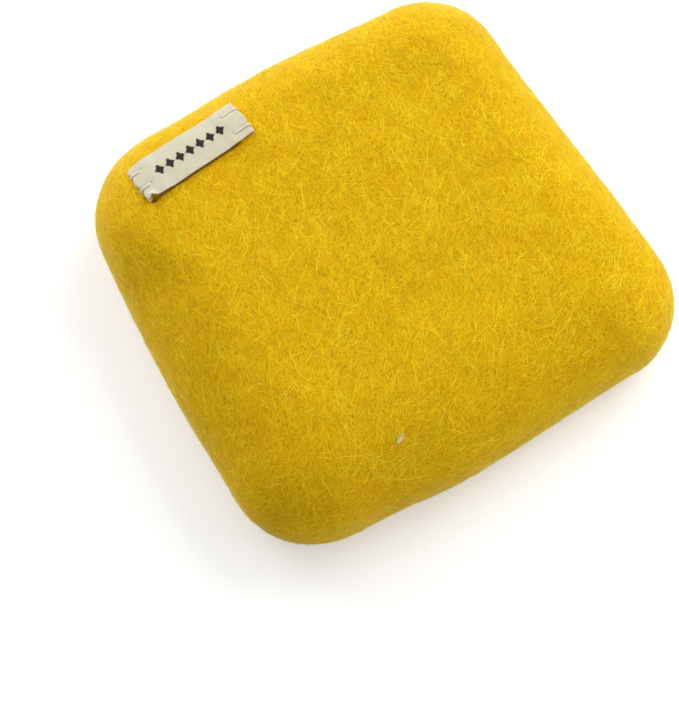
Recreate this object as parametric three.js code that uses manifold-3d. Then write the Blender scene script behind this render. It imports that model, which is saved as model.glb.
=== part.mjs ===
// Needle felting mat: a soft square pad of felted wool that felting needles are pushed into.
// Lengths are in millimetres and +Z is up. The pad rests on z = 0, centred on the Z axis.
// +X runs along the label, and +Y points to the side of the pad that the label lies near.
import * as THREE from 'three';
import { mergeVertices } from 'three/addons/utils/BufferGeometryUtils.js';
import Module from 'manifold-3d';

// Outer form of the pad
const SIDE = 203;
const THICKNESS = 50;
const CORNER_RADIUS = 36; // of the outline, seen from above
const CORNER_EASE = 0.35; // loss of that radius for each millimetre that the outline moves in
const SIDE_BOW = 2; // how far the middle of each side swells past the side's ends
const SHOULDER_WIDTH = 31; // of the soft upper edge, seen from above
const WALL_HEIGHT = 7; // of the upright band between the shoulder and the base
const BASE_ROUND = 12; // radius under the sides
const CROWN = 1.5; // rise of the top towards its middle

// Felt cover: an upper and a lower skin, thinned where they lap and felt together at the girth
const COVER_THICKNESS = 4;
const LAP_MARGIN = 1; // of the upright band above and below the lap
const LAP_EDGE = 0.6; // thickness of a skin at its thinned edge

// Core of carded wool, laid up as a stack of batts
const BATT_COUNT = 5;

// Label: a woven tape with both ends folded under
const LABEL_LENGTH = 53;
const LABEL_WIDTH = 19;
const LABEL_FROM_LEFT = 29.5; // from the pad's left side to the label's left end
const LABEL_FROM_BACK = 34; // from the pad's back side to the label's middle line
const LABEL_TURN = 6; // degrees that the label lies off the side's direction
const LABEL_SAG = 0.6; // dip of the face between the hems
const TAPE_THICKNESS = 0.6;
const FOLD_GAP = 0.4; // between a hem and the face above it
const HEM = 8; // length folded under
const HEM_EASE = 5; // length over which the face comes down from a hem

// Stitching: one thread at each end of the label, over the end twice and on through the felt
const THREAD_DIAMETER = 0.8;
const LEFT_STITCH_REACH = 4.7; // of the stitches over the label's face
const RIGHT_STITCH_REACH = 7.5;
const LEFT_STITCH_FROM_TOP = 4; // from the label's long edges to the stitches
const LEFT_STITCH_FROM_BOTTOM = 6.3;
const RIGHT_STITCH_FROM_TOP = 4.5;
const RIGHT_STITCH_FROM_BOTTOM = 4;
const STITCH_DEPTH = 2.5; // of the thread's ends below the felt's surface
const RUN_DEPTH = 1.8; // of the thread where it runs on to its second stitch
const BEND_RADIUS = 1.2;

// Gap between pieces that lie against each other
const CLEARANCE = 0.3;

// Smallest radius left on an inner edge
const LEAST_ROUND = 1;

// Fineness of the surfaces
const SIDE_STEPS = 4;
const CORNER_STEPS = 6;
const CROWN_STEPS = 4;
const SHOULDER_STEPS = 7;
const INNER_CROWN_STEPS = 2;
const INNER_SHOULDER_STEPS = 8;
const BASE_STEPS = 4;
const BATT_STEPS = 2;
const FACE_STEPS = 9;
const FOLD_STEPS = 5;
const HEM_STEPS = 3;
const WIDTH_STEPS = 7;
const THREAD_SIDES = 8;
const THREAD_STEPS = 60;

const UP = new THREE.Vector3(0, 0, 1);
const HALF = SIDE / 2 - SIDE_BOW; // from the middle of the pad to the ends of a side
const SHOULDER_RISE = THICKNESS - CROWN - WALL_HEIGHT - BASE_ROUND;

const FELT = new THREE.MeshStandardMaterial({ color: 0xd6a81e, roughness: 0.95, metalness: 0 });
const WOOL = new THREE.MeshStandardMaterial({ color: 0xe9e1cf, roughness: 0.95, metalness: 0 });
const COTTON = new THREE.MeshStandardMaterial({ color: 0xd6cfbd, roughness: 0.9, metalness: 0 });
const THREAD = new THREE.MeshStandardMaterial({ color: 0xe8e0c4, roughness: 0.85, metalness: 0 });

const wasm = await Module();
wasm.setup();

// Halves an interval until it closes on the place where a rising value passes zero.
function crossing(low, high, value) {
  let middle = (low + high) / 2;
  while (high - low > CLEARANCE / 1e9) {
    if (value(middle) < 0) {
      low = middle;
    } else {
      high = middle;
    }
    middle = (low + high) / 2;
  }
  return middle;
}

// Cross-section of the pad, taken a given depth inside its outer surface.
function section(depth) {
  const rise = Math.max(SHOULDER_RISE - depth, LEAST_ROUND);
  const round = Math.max(BASE_ROUND - depth, LEAST_ROUND);
  return {
    depth,
    rise,
    round,
    reach: Math.max(SHOULDER_WIDTH - depth, LEAST_ROUND),
    wallTop: THICKNESS - CROWN - depth - rise,
    wallLow: depth + round,
  };
}

// Height of a section's upper surface where the outline has moved in by inset.
function upperHeight(cut, inset) {
  const out = Math.min(Math.max(1 - (inset - cut.depth) / cut.reach, 0), 1);
  const inward = 1 - inset / HALF;
  return cut.wallTop + cut.rise * Math.sqrt(1 - out * out) + CROWN * (1 - inward * inward);
}

// How far a section's side lies inside the girth outline at a height.
function insetAt(cut, z) {
  if (z < cut.wallLow) {
    const sine = 1 - (z - cut.depth) / cut.round;
    return cut.depth + cut.round * (1 - Math.sqrt(1 - sine * sine));
  }
  if (z < cut.wallTop) {
    return cut.depth;
  }
  return crossing(cut.depth, cut.depth + cut.reach, (inset) => upperHeight(cut, inset) - z);
}

// Sizes of the outline that has moved in by inset: a square with round corners and bowed sides.
function outline(inset) {
  const half = HALF - inset;
  const eased = Math.max(CORNER_RADIUS - CORNER_EASE * inset, LEAST_ROUND);
  const radius = Math.min(eased, 0.85 * half);
  return { half, radius, straight: half - radius, bow: (SIDE_BOW * half) / HALF };
}

// How far a side swells, at a share of the way from its middle to its end.
function swell(line, share) {
  return line.bow * (1 - share * share) ** 2;
}

// Points of one outline, anticlockwise from above.
function ring(inset, z) {
  const line = outline(inset);
  const points = [];
  for (let quarter = 0; quarter < 4; quarter += 1) {
    const turn = (quarter * Math.PI) / 2;
    for (let i = 0; i < SIDE_STEPS; i += 1) {
      const share = (2 * i) / SIDE_STEPS - 1;
      const point = new THREE.Vector3(line.half + swell(line, share), line.straight * share, z);
      points.push(point.applyAxisAngle(UP, turn));
    }
    for (let i = 0; i < CORNER_STEPS; i += 1) {
      const angle = ((i / CORNER_STEPS) * Math.PI) / 2;
      const x = line.straight + line.radius * Math.cos(angle);
      const y = line.straight + line.radius * Math.sin(angle);
      points.push(new THREE.Vector3(x, y, z).applyAxisAngle(UP, turn));
    }
  }
  return points;
}

// Closed surface through the outlines of a profile, which starts and ends on the pad's axis.
function loft(profile) {
  const first = new THREE.Vector3(0, 0, profile[0].z);
  const last = new THREE.Vector3(0, 0, profile.at(-1).z);
  const rings = profile.slice(1, -1).map((step) => ring(step.inset, step.z));
  const count = rings[0].length;
  const points = [first, ...rings.flat(), last];
  const index = [];
  for (let i = 0; i < count; i += 1) {
    const next = (i + 1) % count;
    index.push(0, 1 + i, 1 + next);
    for (let r = 1; r < rings.length; r += 1) {
      const inner = 1 + (r - 1) * count;
      const outer = 1 + r * count;
      index.push(inner + i, outer + i, outer + next);
      index.push(inner + i, outer + next, inner + next);
    }
    const base = 1 + (rings.length - 1) * count;
    index.push(base + i, points.length - 1, base + next);
  }
  const geometry = new THREE.BufferGeometry().setFromPoints(points);
  geometry.setIndex(index);
  return geometry;
}

// Profile of a section's top, from the axis out over the crown and down the shoulder.
function topProfile(cut, crownSteps, shoulderSteps) {
  const flat = cut.depth + cut.reach;
  const profile = [];
  for (let i = 0; i < crownSteps; i += 1) {
    const inset = HALF + ((flat - HALF) * i) / crownSteps;
    profile.push({ inset, z: upperHeight(cut, inset) });
  }
  for (let i = 0; i <= shoulderSteps; i += 1) {
    const angle = ((i / shoulderSteps) * Math.PI) / 2;
    const inset = cut.depth + cut.reach * (1 - Math.sin(angle));
    profile.push({ inset, z: upperHeight(cut, inset) });
  }
  return profile;
}

// Profile of a section's underside, from the upright band round to the axis.
function baseProfile(cut) {
  const profile = [];
  for (let i = 0; i <= BASE_STEPS; i += 1) {
    const angle = ((i / BASE_STEPS) * Math.PI) / 2;
    const inset = cut.depth + cut.round * (1 - Math.cos(angle));
    profile.push({ inset, z: cut.depth + cut.round * (1 - Math.sin(angle)) });
  }
  profile.push({ inset: HALF, z: cut.depth });
  return profile;
}

const outer = section(0);
const inner = section(COVER_THICKNESS);
const core = section(COVER_THICKNESS + CLEARANCE);

// The slanting lap in the upright band: the upper skin's edge lies outside the lower one's.
const LAP_LOW = outer.wallLow + LAP_MARGIN;
const LAP_HIGH = outer.wallLow + WALL_HEIGHT - LAP_MARGIN;
const LAP_SLANT = Math.hypot(COVER_THICKNESS - 2 * LAP_EDGE, LAP_HIGH - LAP_LOW);
const LAP_DROP = (CLEARANCE * LAP_SLANT) / (COVER_THICKNESS - 2 * LAP_EDGE);

function lapProfile(drop) {
  return [
    { inset: 0, z: LAP_LOW - drop },
    { inset: LAP_EDGE, z: LAP_LOW - drop },
    { inset: COVER_THICKNESS - LAP_EDGE, z: LAP_HIGH - drop },
    { inset: COVER_THICKNESS, z: LAP_HIGH - drop },
  ];
}

function upperSkin() {
  const outside = topProfile(outer, CROWN_STEPS, SHOULDER_STEPS);
  const inside = topProfile(inner, INNER_CROWN_STEPS, INNER_SHOULDER_STEPS).reverse();
  return loft([...outside, ...lapProfile(0), ...inside]);
}

function lowerSkin() {
  const inside = baseProfile(inner).reverse();
  const edge = lapProfile(LAP_DROP).reverse();
  return loft([...inside, ...edge, ...baseProfile(outer)]);
}

// The batts share the height of the core evenly, and the top one takes the crown.
const CORE_TOP = THICKNESS - core.depth;
const BATT_PITCH = (CORE_TOP - core.depth + CLEARANCE) / BATT_COUNT;

function batt(number) {
  const low = core.depth + number * BATT_PITCH;
  const high = low + BATT_PITCH - CLEARANCE;
  const profile = [];
  if (number === BATT_COUNT - 1) {
    const crown = topProfile(core, INNER_CROWN_STEPS, INNER_SHOULDER_STEPS);
    profile.push(...crown.filter((step) => step.z > low + CLEARANCE));
  } else {
    profile.push({ inset: HALF, z: high });
    for (let i = 0; i < BATT_STEPS; i += 1) {
      const z = high + ((low - high) * i) / BATT_STEPS;
      profile.push({ inset: insetAt(core, z), z });
    }
  }
  profile.push({ inset: insetAt(core, low), z: low });
  profile.push({ inset: HALF, z: low });
  return loft(profile);
}

// How far a point of the plan lies outside the outline that has moved in by inset.
function outsideBy(x, y, inset) {
  const line = outline(inset);
  const far = Math.max(Math.abs(x), Math.abs(y));
  const near = Math.min(Math.abs(x), Math.abs(y));
  if (near > line.straight) {
    return Math.hypot(far - line.straight, near - line.straight) - line.radius;
  }
  return far - line.half - swell(line, near / line.straight);
}

// Height of the felt's upper surface over a point of the plan.
function feltHeight(x, y) {
  const inset = crossing(0, HALF, (depth) => outsideBy(x, y, depth));
  return upperHeight(outer, inset);
}

function feltNormal(x, y) {
  const step = CLEARANCE;
  const slopeX = (feltHeight(x + step, y) - feltHeight(x - step, y)) / (2 * step);
  const slopeY = (feltHeight(x, y + step) - feltHeight(x, y - step)) / (2 * step);
  return new THREE.Vector3(-slopeX, -slopeY, 1).normalize();
}

// The label's own directions: along it, across it and square to the felt under its middle.
const LABEL_X = -SIDE / 2 + LABEL_FROM_LEFT + LABEL_LENGTH / 2;
const LABEL_Y = SIDE / 2 - LABEL_FROM_BACK;
const labelMiddle = new THREE.Vector3(LABEL_X, LABEL_Y, feltHeight(LABEL_X, LABEL_Y));
const labelNormal = feltNormal(LABEL_X, LABEL_Y);
const labelTurn = THREE.MathUtils.degToRad(LABEL_TURN);
const labelAlong = new THREE.Vector3(Math.cos(labelTurn), Math.sin(labelTurn), 0);
labelAlong.projectOnPlane(labelNormal).normalize();
const labelAcross = new THREE.Vector3().crossVectors(labelNormal, labelAlong);

// Place on the pad of a point given along the label, across it and above the felt.
function onPad(along, across, above) {
  const flat = labelMiddle.clone();
  flat.addScaledVector(labelAlong, along);
  flat.addScaledVector(labelAcross, across);
  const drop = crossing(-THICKNESS / 2, THICKNESS / 2, (distance) => {
    const point = flat.clone().addScaledVector(labelNormal, distance);
    return point.z - feltHeight(point.x, point.y);
  });
  const foot = flat.addScaledVector(labelNormal, drop);
  return foot.addScaledVector(feltNormal(foot.x, foot.y), above);
}

// Lays a geometry on the pad: its x runs along the label, its y above the felt, its z across.
function layOnPad(geometry) {
  const position = geometry.getAttribute('position');
  for (let i = 0; i < position.count; i += 1) {
    const place = onPad(position.getX(i), -position.getZ(i), position.getY(i));
    position.setXYZ(i, place.x, place.y, place.z);
  }
  return geometry;
}

// Vertices that lie together become one, as a closed solid needs.
function merged(geometry) {
  geometry.deleteAttribute('normal');
  geometry.deleteAttribute('uv');
  return mergeVertices(geometry);
}

const HEM_HEIGHT = CLEARANCE + TAPE_THICKNESS / 2;
const FOLD_RADIUS = (TAPE_THICKNESS + FOLD_GAP) / 2;
const FACE_HEIGHT = HEM_HEIGHT + 2 * FOLD_RADIUS;
const FOLD_START = LABEL_LENGTH / 2 - FOLD_RADIUS - TAPE_THICKNESS / 2;

// Middle line of the tape from the label's middle to the tail of its right-hand hem.
function halfTape() {
  const points = [];
  const sagged = LABEL_LENGTH / 2 - HEM - HEM_EASE;
  for (let i = 0; i < FACE_STEPS; i += 1) {
    const along = (FOLD_START * i) / FACE_STEPS;
    const lift = THREE.MathUtils.smoothstep(along, sagged, LABEL_LENGTH / 2 - HEM);
    points.push(new THREE.Vector2(along, FACE_HEIGHT - LABEL_SAG * (1 - lift)));
  }
  for (let i = 0; i < FOLD_STEPS; i += 1) {
    const angle = Math.PI / 2 - (Math.PI * i) / FOLD_STEPS;
    const along = FOLD_START + FOLD_RADIUS * Math.cos(angle);
    points.push(new THREE.Vector2(along, HEM_HEIGHT + FOLD_RADIUS * (1 + Math.sin(angle))));
  }
  const tail = LABEL_LENGTH / 2 - HEM;
  for (let i = 0; i <= HEM_STEPS; i += 1) {
    points.push(new THREE.Vector2(FOLD_START + ((tail - FOLD_START) * i) / HEM_STEPS, HEM_HEIGHT));
  }
  return points;
}

// Outline of the tape's edge: its middle line, thickened to both sides.
function tapeEdge() {
  const right = halfTape();
  const left = right.slice(1).map((point) => new THREE.Vector2(-point.x, point.y));
  const line = [...left.reverse(), ...right];
  const above = [];
  const below = [];
  line.forEach((point, i) => {
    const before = line[Math.max(i - 1, 0)];
    const after = line[Math.min(i + 1, line.length - 1)];
    const side = after.clone().sub(before).normalize().multiplyScalar(TAPE_THICKNESS / 2);
    above.push(new THREE.Vector2(point.x - side.y, point.y + side.x));
    below.push(new THREE.Vector2(point.x + side.y, point.y - side.x));
  });
  return new THREE.Shape([...below, ...above.reverse()]);
}

function tape() {
  const options = { depth: LABEL_WIDTH, steps: WIDTH_STEPS, bevelEnabled: false };
  const flat = new THREE.ExtrudeGeometry(tapeEdge(), options);
  flat.translate(0, 0, -LABEL_WIDTH / 2);
  return layOnPad(merged(flat));
}

// Straight runs between corners, with a bend at each corner.
function bentRoute(corners) {
  const route = new THREE.CurvePath();
  let start = corners[0];
  for (let i = 1; i < corners.length - 1; i += 1) {
    const corner = corners[i];
    const enter = corners[i - 1].clone().sub(corner).setLength(BEND_RADIUS).add(corner);
    const leave = corners[i + 1].clone().sub(corner).setLength(BEND_RADIUS).add(corner);
    route.add(new THREE.LineCurve3(start, enter));
    route.add(new THREE.QuadraticBezierCurve3(enter, corner, leave));
    start = leave;
  }
  route.add(new THREE.LineCurve3(start, corners.at(-1)));
  return route;
}

// Route of the thread at one end of the label: up through the tape, over the end and down,
// on inside the felt, and back over the end and down through the tape.
function threadRoute(end, stitch, extraDepth) {
  const through = end * (LABEL_LENGTH / 2 - stitch.reach);
  const beyond = end * (LABEL_LENGTH / 2 + CLEARANCE + THREAD_DIAMETER / 2);
  const over = FACE_HEIGHT + TAPE_THICKNESS / 2 + CLEARANCE + THREAD_DIAMETER / 2;
  const high = LABEL_WIDTH / 2 - stitch.fromTop;
  const low = stitch.fromBottom - LABEL_WIDTH / 2;
  const tip = -STITCH_DEPTH - extraDepth;
  const route = bentRoute([
    new THREE.Vector3(through, high, tip),
    new THREE.Vector3(through, high, over),
    new THREE.Vector3(beyond, high, over),
    new THREE.Vector3(beyond, high, -RUN_DEPTH),
    new THREE.Vector3(beyond, low, -RUN_DEPTH),
    new THREE.Vector3(beyond, low, over),
    new THREE.Vector3(through, low, over),
    new THREE.Vector3(through, low, tip),
  ]);
  const places = route.getSpacedPoints(THREAD_STEPS);
  return new THREE.CatmullRomCurve3(places.map((place) => onPad(place.x, place.y, place.z)));
}

// Round section of a given radius along a curve.
function cord(curve, radius) {
  const corners = [];
  for (let i = 0; i < THREAD_SIDES; i += 1) {
    const angle = (2 * Math.PI * i) / THREAD_SIDES;
    corners.push(new THREE.Vector2(radius * Math.cos(angle), radius * Math.sin(angle)));
  }
  const options = { steps: THREAD_STEPS, extrudePath: curve };
  return merged(new THREE.ExtrudeGeometry(new THREE.Shape(corners), options));
}

function solidOf(geometry) {
  return new wasm.Manifold(new wasm.Mesh({
    numProp: 3,
    vertProperties: new Float32Array(geometry.getAttribute('position').array),
    triVerts: new Uint32Array(geometry.getIndex().array),
  }));
}

function geometryOf(solid) {
  const mesh = solid.getMesh();
  const geometry = new THREE.BufferGeometry();
  geometry.setAttribute('position', new THREE.BufferAttribute(mesh.vertProperties, 3));
  geometry.setIndex(new THREE.BufferAttribute(mesh.triVerts, 1));
  return geometry;
}

// A piece with the ways of the threads cut through it.
function pierced(geometry, ways) {
  return geometryOf(ways.reduce((solid, way) => solid.subtract(way), solidOf(geometry)));
}

const group = new THREE.Group();

function addPiece(name, geometry, material) {
  geometry.computeVertexNormals();
  const mesh = new THREE.Mesh(geometry, material);
  mesh.name = name;
  group.add(mesh);
}

const LEFT = {
  reach: LEFT_STITCH_REACH,
  fromTop: LEFT_STITCH_FROM_TOP,
  fromBottom: LEFT_STITCH_FROM_BOTTOM,
};
const RIGHT = {
  reach: RIGHT_STITCH_REACH,
  fromTop: RIGHT_STITCH_FROM_TOP,
  fromBottom: RIGHT_STITCH_FROM_BOTTOM,
};
const WAY_RADIUS = THREAD_DIAMETER / 2 + CLEARANCE;
const ways = [
  solidOf(cord(threadRoute(-1, LEFT, CLEARANCE), WAY_RADIUS)),
  solidOf(cord(threadRoute(1, RIGHT, CLEARANCE), WAY_RADIUS)),
];

addPiece('upper_felt_cover', pierced(upperSkin(), ways), FELT);
addPiece('lower_felt_cover', lowerSkin(), FELT);
for (let number = 0; number < BATT_COUNT; number += 1) {
  addPiece(`core_batt_${number + 1}`, batt(number), WOOL);
}
addPiece('label_tape', pierced(tape(), ways), COTTON);
addPiece('label_thread_left', cord(threadRoute(-1, LEFT, 0), THREAD_DIAMETER / 2), THREAD);
addPiece('label_thread_right', cord(threadRoute(1, RIGHT, 0), THREAD_DIAMETER / 2), THREAD);

export default group;
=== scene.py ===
# %% [markdown]
# # A needle felting mat
# This mat is a block of wool that a felter works on: the needle goes through the work and stops
# safely in the pad. Outside it is one skin of dyed, matted wool, inside it is a stack of carded
# white wool, and a small folded tape is sewn near one corner.
# The imported CAD model comes in first, as a fixed frame in metres. Its box is kept.

# %% Load the frame
import math
import bmesh
import bpy
import numpy as np
from mathutils import Matrix, Vector
from mathutils.bvhtree import BVHTree


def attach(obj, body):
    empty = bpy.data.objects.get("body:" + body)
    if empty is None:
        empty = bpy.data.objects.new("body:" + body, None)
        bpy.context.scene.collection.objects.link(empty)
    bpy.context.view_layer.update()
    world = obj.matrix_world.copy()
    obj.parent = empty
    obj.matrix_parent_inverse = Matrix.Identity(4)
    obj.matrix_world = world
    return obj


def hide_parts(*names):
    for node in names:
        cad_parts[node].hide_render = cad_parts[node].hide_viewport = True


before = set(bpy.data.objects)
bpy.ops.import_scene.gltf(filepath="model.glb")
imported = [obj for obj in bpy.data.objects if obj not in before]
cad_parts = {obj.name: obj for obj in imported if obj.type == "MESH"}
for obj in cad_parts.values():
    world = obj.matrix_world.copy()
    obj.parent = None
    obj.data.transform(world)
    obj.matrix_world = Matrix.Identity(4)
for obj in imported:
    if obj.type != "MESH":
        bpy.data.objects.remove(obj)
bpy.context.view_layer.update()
scene = bpy.context.scene
MM = 0.001


def in_mm(lengths, digits=1):
    """Lengths in rounded millimetres, for printing."""
    return [round(float(length) / MM, digits) for length in lengths]


print("CAD nodes:", sorted(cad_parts))

# %% [markdown]
# ## The camera
# The photograph looks down at the mat, steeply and from one corner, with the picture a little
# rolled. The angles, the distance and the lens came from fitting the mat's outline to the picture.
# A camera in Blender looks along its own minus Z with Y upwards, so its three axes are worked out
# first and then put into one matrix.

# %% Place the camera
PAD_HEIGHT = 50 * MM
VIEW_AZIMUTH, VIEW_ELEVATION, VIEW_ROLL = (math.radians(a) for a in (-16.33, 68.23, -14.08))
VIEW_DISTANCE = 499.92 * MM
VIEW_ASIDE, VIEW_BELOW = -12.63 * MM, -47.49 * MM
VIEW_LENS = 59.18

view_back = Vector((math.sin(VIEW_AZIMUTH) * math.cos(VIEW_ELEVATION),
                    -math.cos(VIEW_AZIMUTH) * math.cos(VIEW_ELEVATION),
                    math.sin(VIEW_ELEVATION)))
view_level = Vector((math.cos(VIEW_AZIMUTH), math.sin(VIEW_AZIMUTH), 0))
view_right = view_level * math.cos(VIEW_ROLL) + view_back.cross(view_level) * math.sin(VIEW_ROLL)
view_up = view_back.cross(view_right)
view_aim = Vector((0, 0, PAD_HEIGHT / 2)) + view_right * VIEW_ASIDE + view_up * VIEW_BELOW

camera_data = bpy.data.cameras.new("photograph_view")
camera_data.lens = VIEW_LENS
camera = bpy.data.objects.new("photograph_view", camera_data)
scene.collection.objects.link(camera)
camera.matrix_world = Matrix.Translation(view_aim + view_back * VIEW_DISTANCE) @ \
    Matrix((view_right, view_up, view_back)).transposed().to_4x4()
scene.camera = camera
print("camera at", in_mm(camera.location), "mm, looking at", in_mm(view_aim), "mm")

# %% [markdown]
# ## The pad's form, as measured
# The mat is felted by hand, so its four sides and corners are all a little different. These are
# the measured ones: how far each side bows out, how round each corner is, and how the profile runs
# from the foot over the wall and the shoulder to a slightly crowned top. The left shoulder is worn
# low in front of a line, and the corner behind that line, by the label, is still full. A short list
# holds the lumps along the edge: where round the pad each one is, in degrees, how far it swells out
# or dips in, and how many degrees wide it is.
# A formula like this is useful in Blender: any point can be asked how far outside the outline it
# is, and how high the felt is there.

# %% Measured sizes and the outline
HALF_SIDE = 99.5 * MM
SIDE_BOWS = {"right": 0.10 * MM, "back": 2.64 * MM, "left": 1.93 * MM, "front": 2.69 * MM}
CORNER_ROUNDS = {("right", "back"): 33.0 * MM, ("left", "back"): 40.1 * MM,
                 ("left", "front"): 37.7 * MM, ("right", "front"): 31.5 * MM}
CORNER_EASE, LEAST_ROUND, MOST_ROUND_SHARE = 0.35, 1 * MM, 0.85
EDGE_LUMPS = ((37, 0.9 * MM, 11), (56, -1.0 * MM, 11), (115, -0.6 * MM, 14), (147, -0.7 * MM, 9),
              (188, 0.5 * MM, 18), (224, 0.8 * MM, 9), (259, 2.2 * MM, 11), (290, 0.7 * MM, 22))


def hump(value, middle, width):
    """A bell: 1 in the middle, and about a third at the width to each side."""
    return np.exp(-((value - middle) / width) ** 2)


def ease(low, high, value):
    """0 up to low, 1 from high, and a smooth rise between."""
    share = np.clip((value - low) / (high - low), 0, 1)
    return share * share * (3 - 2 * share)


def turned_from(x, y, turn):
    """Degrees round the pad from a turn, between -180 and 180."""
    return (np.degrees(np.arctan2(y, x)) - turn + 180) % 360 - 180


def outside_by(x, y, inset):
    """How far points lie outside the pad's outline drawn in by inset."""
    half = HALF_SIDE - inset
    rounds = {corner: np.clip(r - CORNER_EASE * inset, LEAST_ROUND, MOST_ROUND_SHARE * half)
              for corner, r in CORNER_ROUNDS.items()}
    distance = np.full(np.shape(x), -np.inf)
    for side, out, along, low, high in (
            ("right", x, y, ("right", "front"), ("right", "back")),
            ("left", -x, y, ("left", "front"), ("left", "back")),
            ("back", y, x, ("left", "back"), ("right", "back")),
            ("front", -y, x, ("left", "front"), ("right", "front"))):
        start, end = -(half - rounds[low]), half - rounds[high]
        share = np.clip((2 * along - start - end) / (end - start), -1, 1)
        bow = SIDE_BOWS[side] * half / HALF_SIDE * (1 - share ** 2) ** 2
        distance = np.maximum(distance, out - half - bow)
    for (side_x, side_y), r in rounds.items():
        over_x = (x if side_x == "right" else -x) - (half - r)
        over_y = (y if side_y == "back" else -y) - (half - r)
        distance = np.where((over_x > 0) & (over_y > 0), np.hypot(over_x, over_y) - r, distance)
    lumps = sum(out * hump(turned_from(x, y, turn), 0, wide) for turn, out, wide in EDGE_LUMPS)
    return distance - lumps * np.clip(1 - inset / HALF_SIDE, 0, 1)


print("sides bow by", dict(zip(SIDE_BOWS, in_mm(SIDE_BOWS.values(), 2))), "mm")

# %% How far in from the outline
HALVINGS = 22
LEAST_INSET, MOST_INSET = -20 * MM, HALF_SIDE - 2 * MM


def inset_of(x, y):
    """How far in from the outline each point lies, found by halving."""
    low, high = np.full(np.shape(x), LEAST_INSET), np.full(np.shape(x), MOST_INSET)
    for _ in range(HALVINGS):
        middle = (low + high) / 2
        outside = outside_by(x, y, middle) > 0
        low, high = np.where(outside, low, middle), np.where(outside, middle, high)
    return (low + high) / 2


print("the middle of the pad is", in_mm([inset_of(0, 0)])[0], "mm in from the outline")

# %% Heights of the felt
SHOULDER_WIDTH, SHOULDER_POWER = 31.7 * MM, 2
WALL_HEIGHT = 5 * MM
FOOT_ROUND = 11.8 * MM
CROWN = 1.5 * MM
SHOULDER_RISE = PAD_HEIGHT - CROWN - WALL_HEIGHT - FOOT_ROUND
WORN_LINE_AT, WORN_SIDE = (-76 * MM, 33 * MM), (-0.5, -0.87)
WORN_EDGE, WORN_FADES = (-5 * MM, 13 * MM), (-90 * MM, -50 * MM)
WORN_WIDER, WORN_LOWER = 8 * MM, 0.3
FULL_CORNER, FULL_CORNER_AT, FULL_CORNER_REACH = 0.8, 149, 10


def shoulder(x, y):
    """The shoulder's width, and the power of its curve: 2 is an ellipse, less is lower, more fuller."""
    past_line = (x - WORN_LINE_AT[0]) * WORN_SIDE[0] + (y - WORN_LINE_AT[1]) * WORN_SIDE[1]
    worn = ease(*WORN_EDGE, past_line) * ease(*WORN_FADES, y)
    full = hump(turned_from(x, y, FULL_CORNER_AT), 0, FULL_CORNER_REACH)
    return SHOULDER_WIDTH + WORN_WIDER * worn, SHOULDER_POWER - WORN_LOWER * worn + FULL_CORNER * full


def top_height(inset, width, power):
    """Height of the upper surface at an inset, over a shoulder of a width and power."""
    out = np.clip(1 - inset / width, 0, 1)
    crown = CROWN * (1 - (1 - np.clip(inset / HALF_SIDE, 0, 1)) ** 2)
    return FOOT_ROUND + WALL_HEIGHT + SHOULDER_RISE * np.sqrt(1 - out ** power) + crown


def foot_height(inset):
    """Height of the lower surface at an inset: flat, and rounded up towards the outline."""
    near = FOOT_ROUND - np.clip(inset, 0, FOOT_ROUND)
    return FOOT_ROUND - np.sqrt(FOOT_ROUND ** 2 - near ** 2)


def beyond_form(points):
    """Positive outside the measured form, negative inside."""
    x, y, z = points.T
    inset = inset_of(x, y)
    return np.maximum.reduce([-inset, z - top_height(inset, *shoulder(x, y)), foot_height(inset) - z])


print("felt is", in_mm([top_height(HALF_SIDE, *shoulder(0, 0))], 2)[0], "mm high in the middle")

# %% [markdown]
# ## A block to felt
# Wool felt starts as a thick wrapped block and is worked until its edges go round. So the cover
# starts as a cube a little smaller than the pad, with its upright edges and its rims beveled in
# edit mode. Everything else is deselected first, because the loaded frame leaves its nodes
# selected, and an operator acts on all that is selected.

# %% Helpers for picking and applying
def deselect_all():
    """Leaves edit mode and selects nothing."""
    if bpy.context.mode != "OBJECT":
        bpy.ops.object.mode_set(mode="OBJECT")
    bpy.ops.object.select_all(action="DESELECT")


def make_active(piece):
    """Selects one piece alone, so that operators act on it."""
    deselect_all()
    piece.select_set(True)
    bpy.context.view_layer.objects.active = piece


def pick(piece, kind, test):
    """In edit mode, selects only the verts, edges or faces whose corner points pass the test."""
    bpy.ops.mesh.select_mode(type=kind)
    bpy.ops.mesh.select_all(action="DESELECT")
    mesh = bmesh.from_edit_mesh(piece.data)
    picked = 0
    for item in {"VERT": mesh.verts, "EDGE": mesh.edges, "FACE": mesh.faces}[kind]:
        ends = [v.co for v in getattr(item, "verts", [item])]
        if test(ends):
            item.select_set(True)
            picked += 1
    mesh.select_flush_mode()
    bmesh.update_edit_mesh(piece.data)
    return picked


def apply_modifier(piece, name):
    """Makes what a modifier does a part of the mesh."""
    make_active(piece)
    bpy.ops.object.modifier_apply(modifier=name)


print("the loaded frame left", len(bpy.context.selected_objects), "objects selected")

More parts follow.
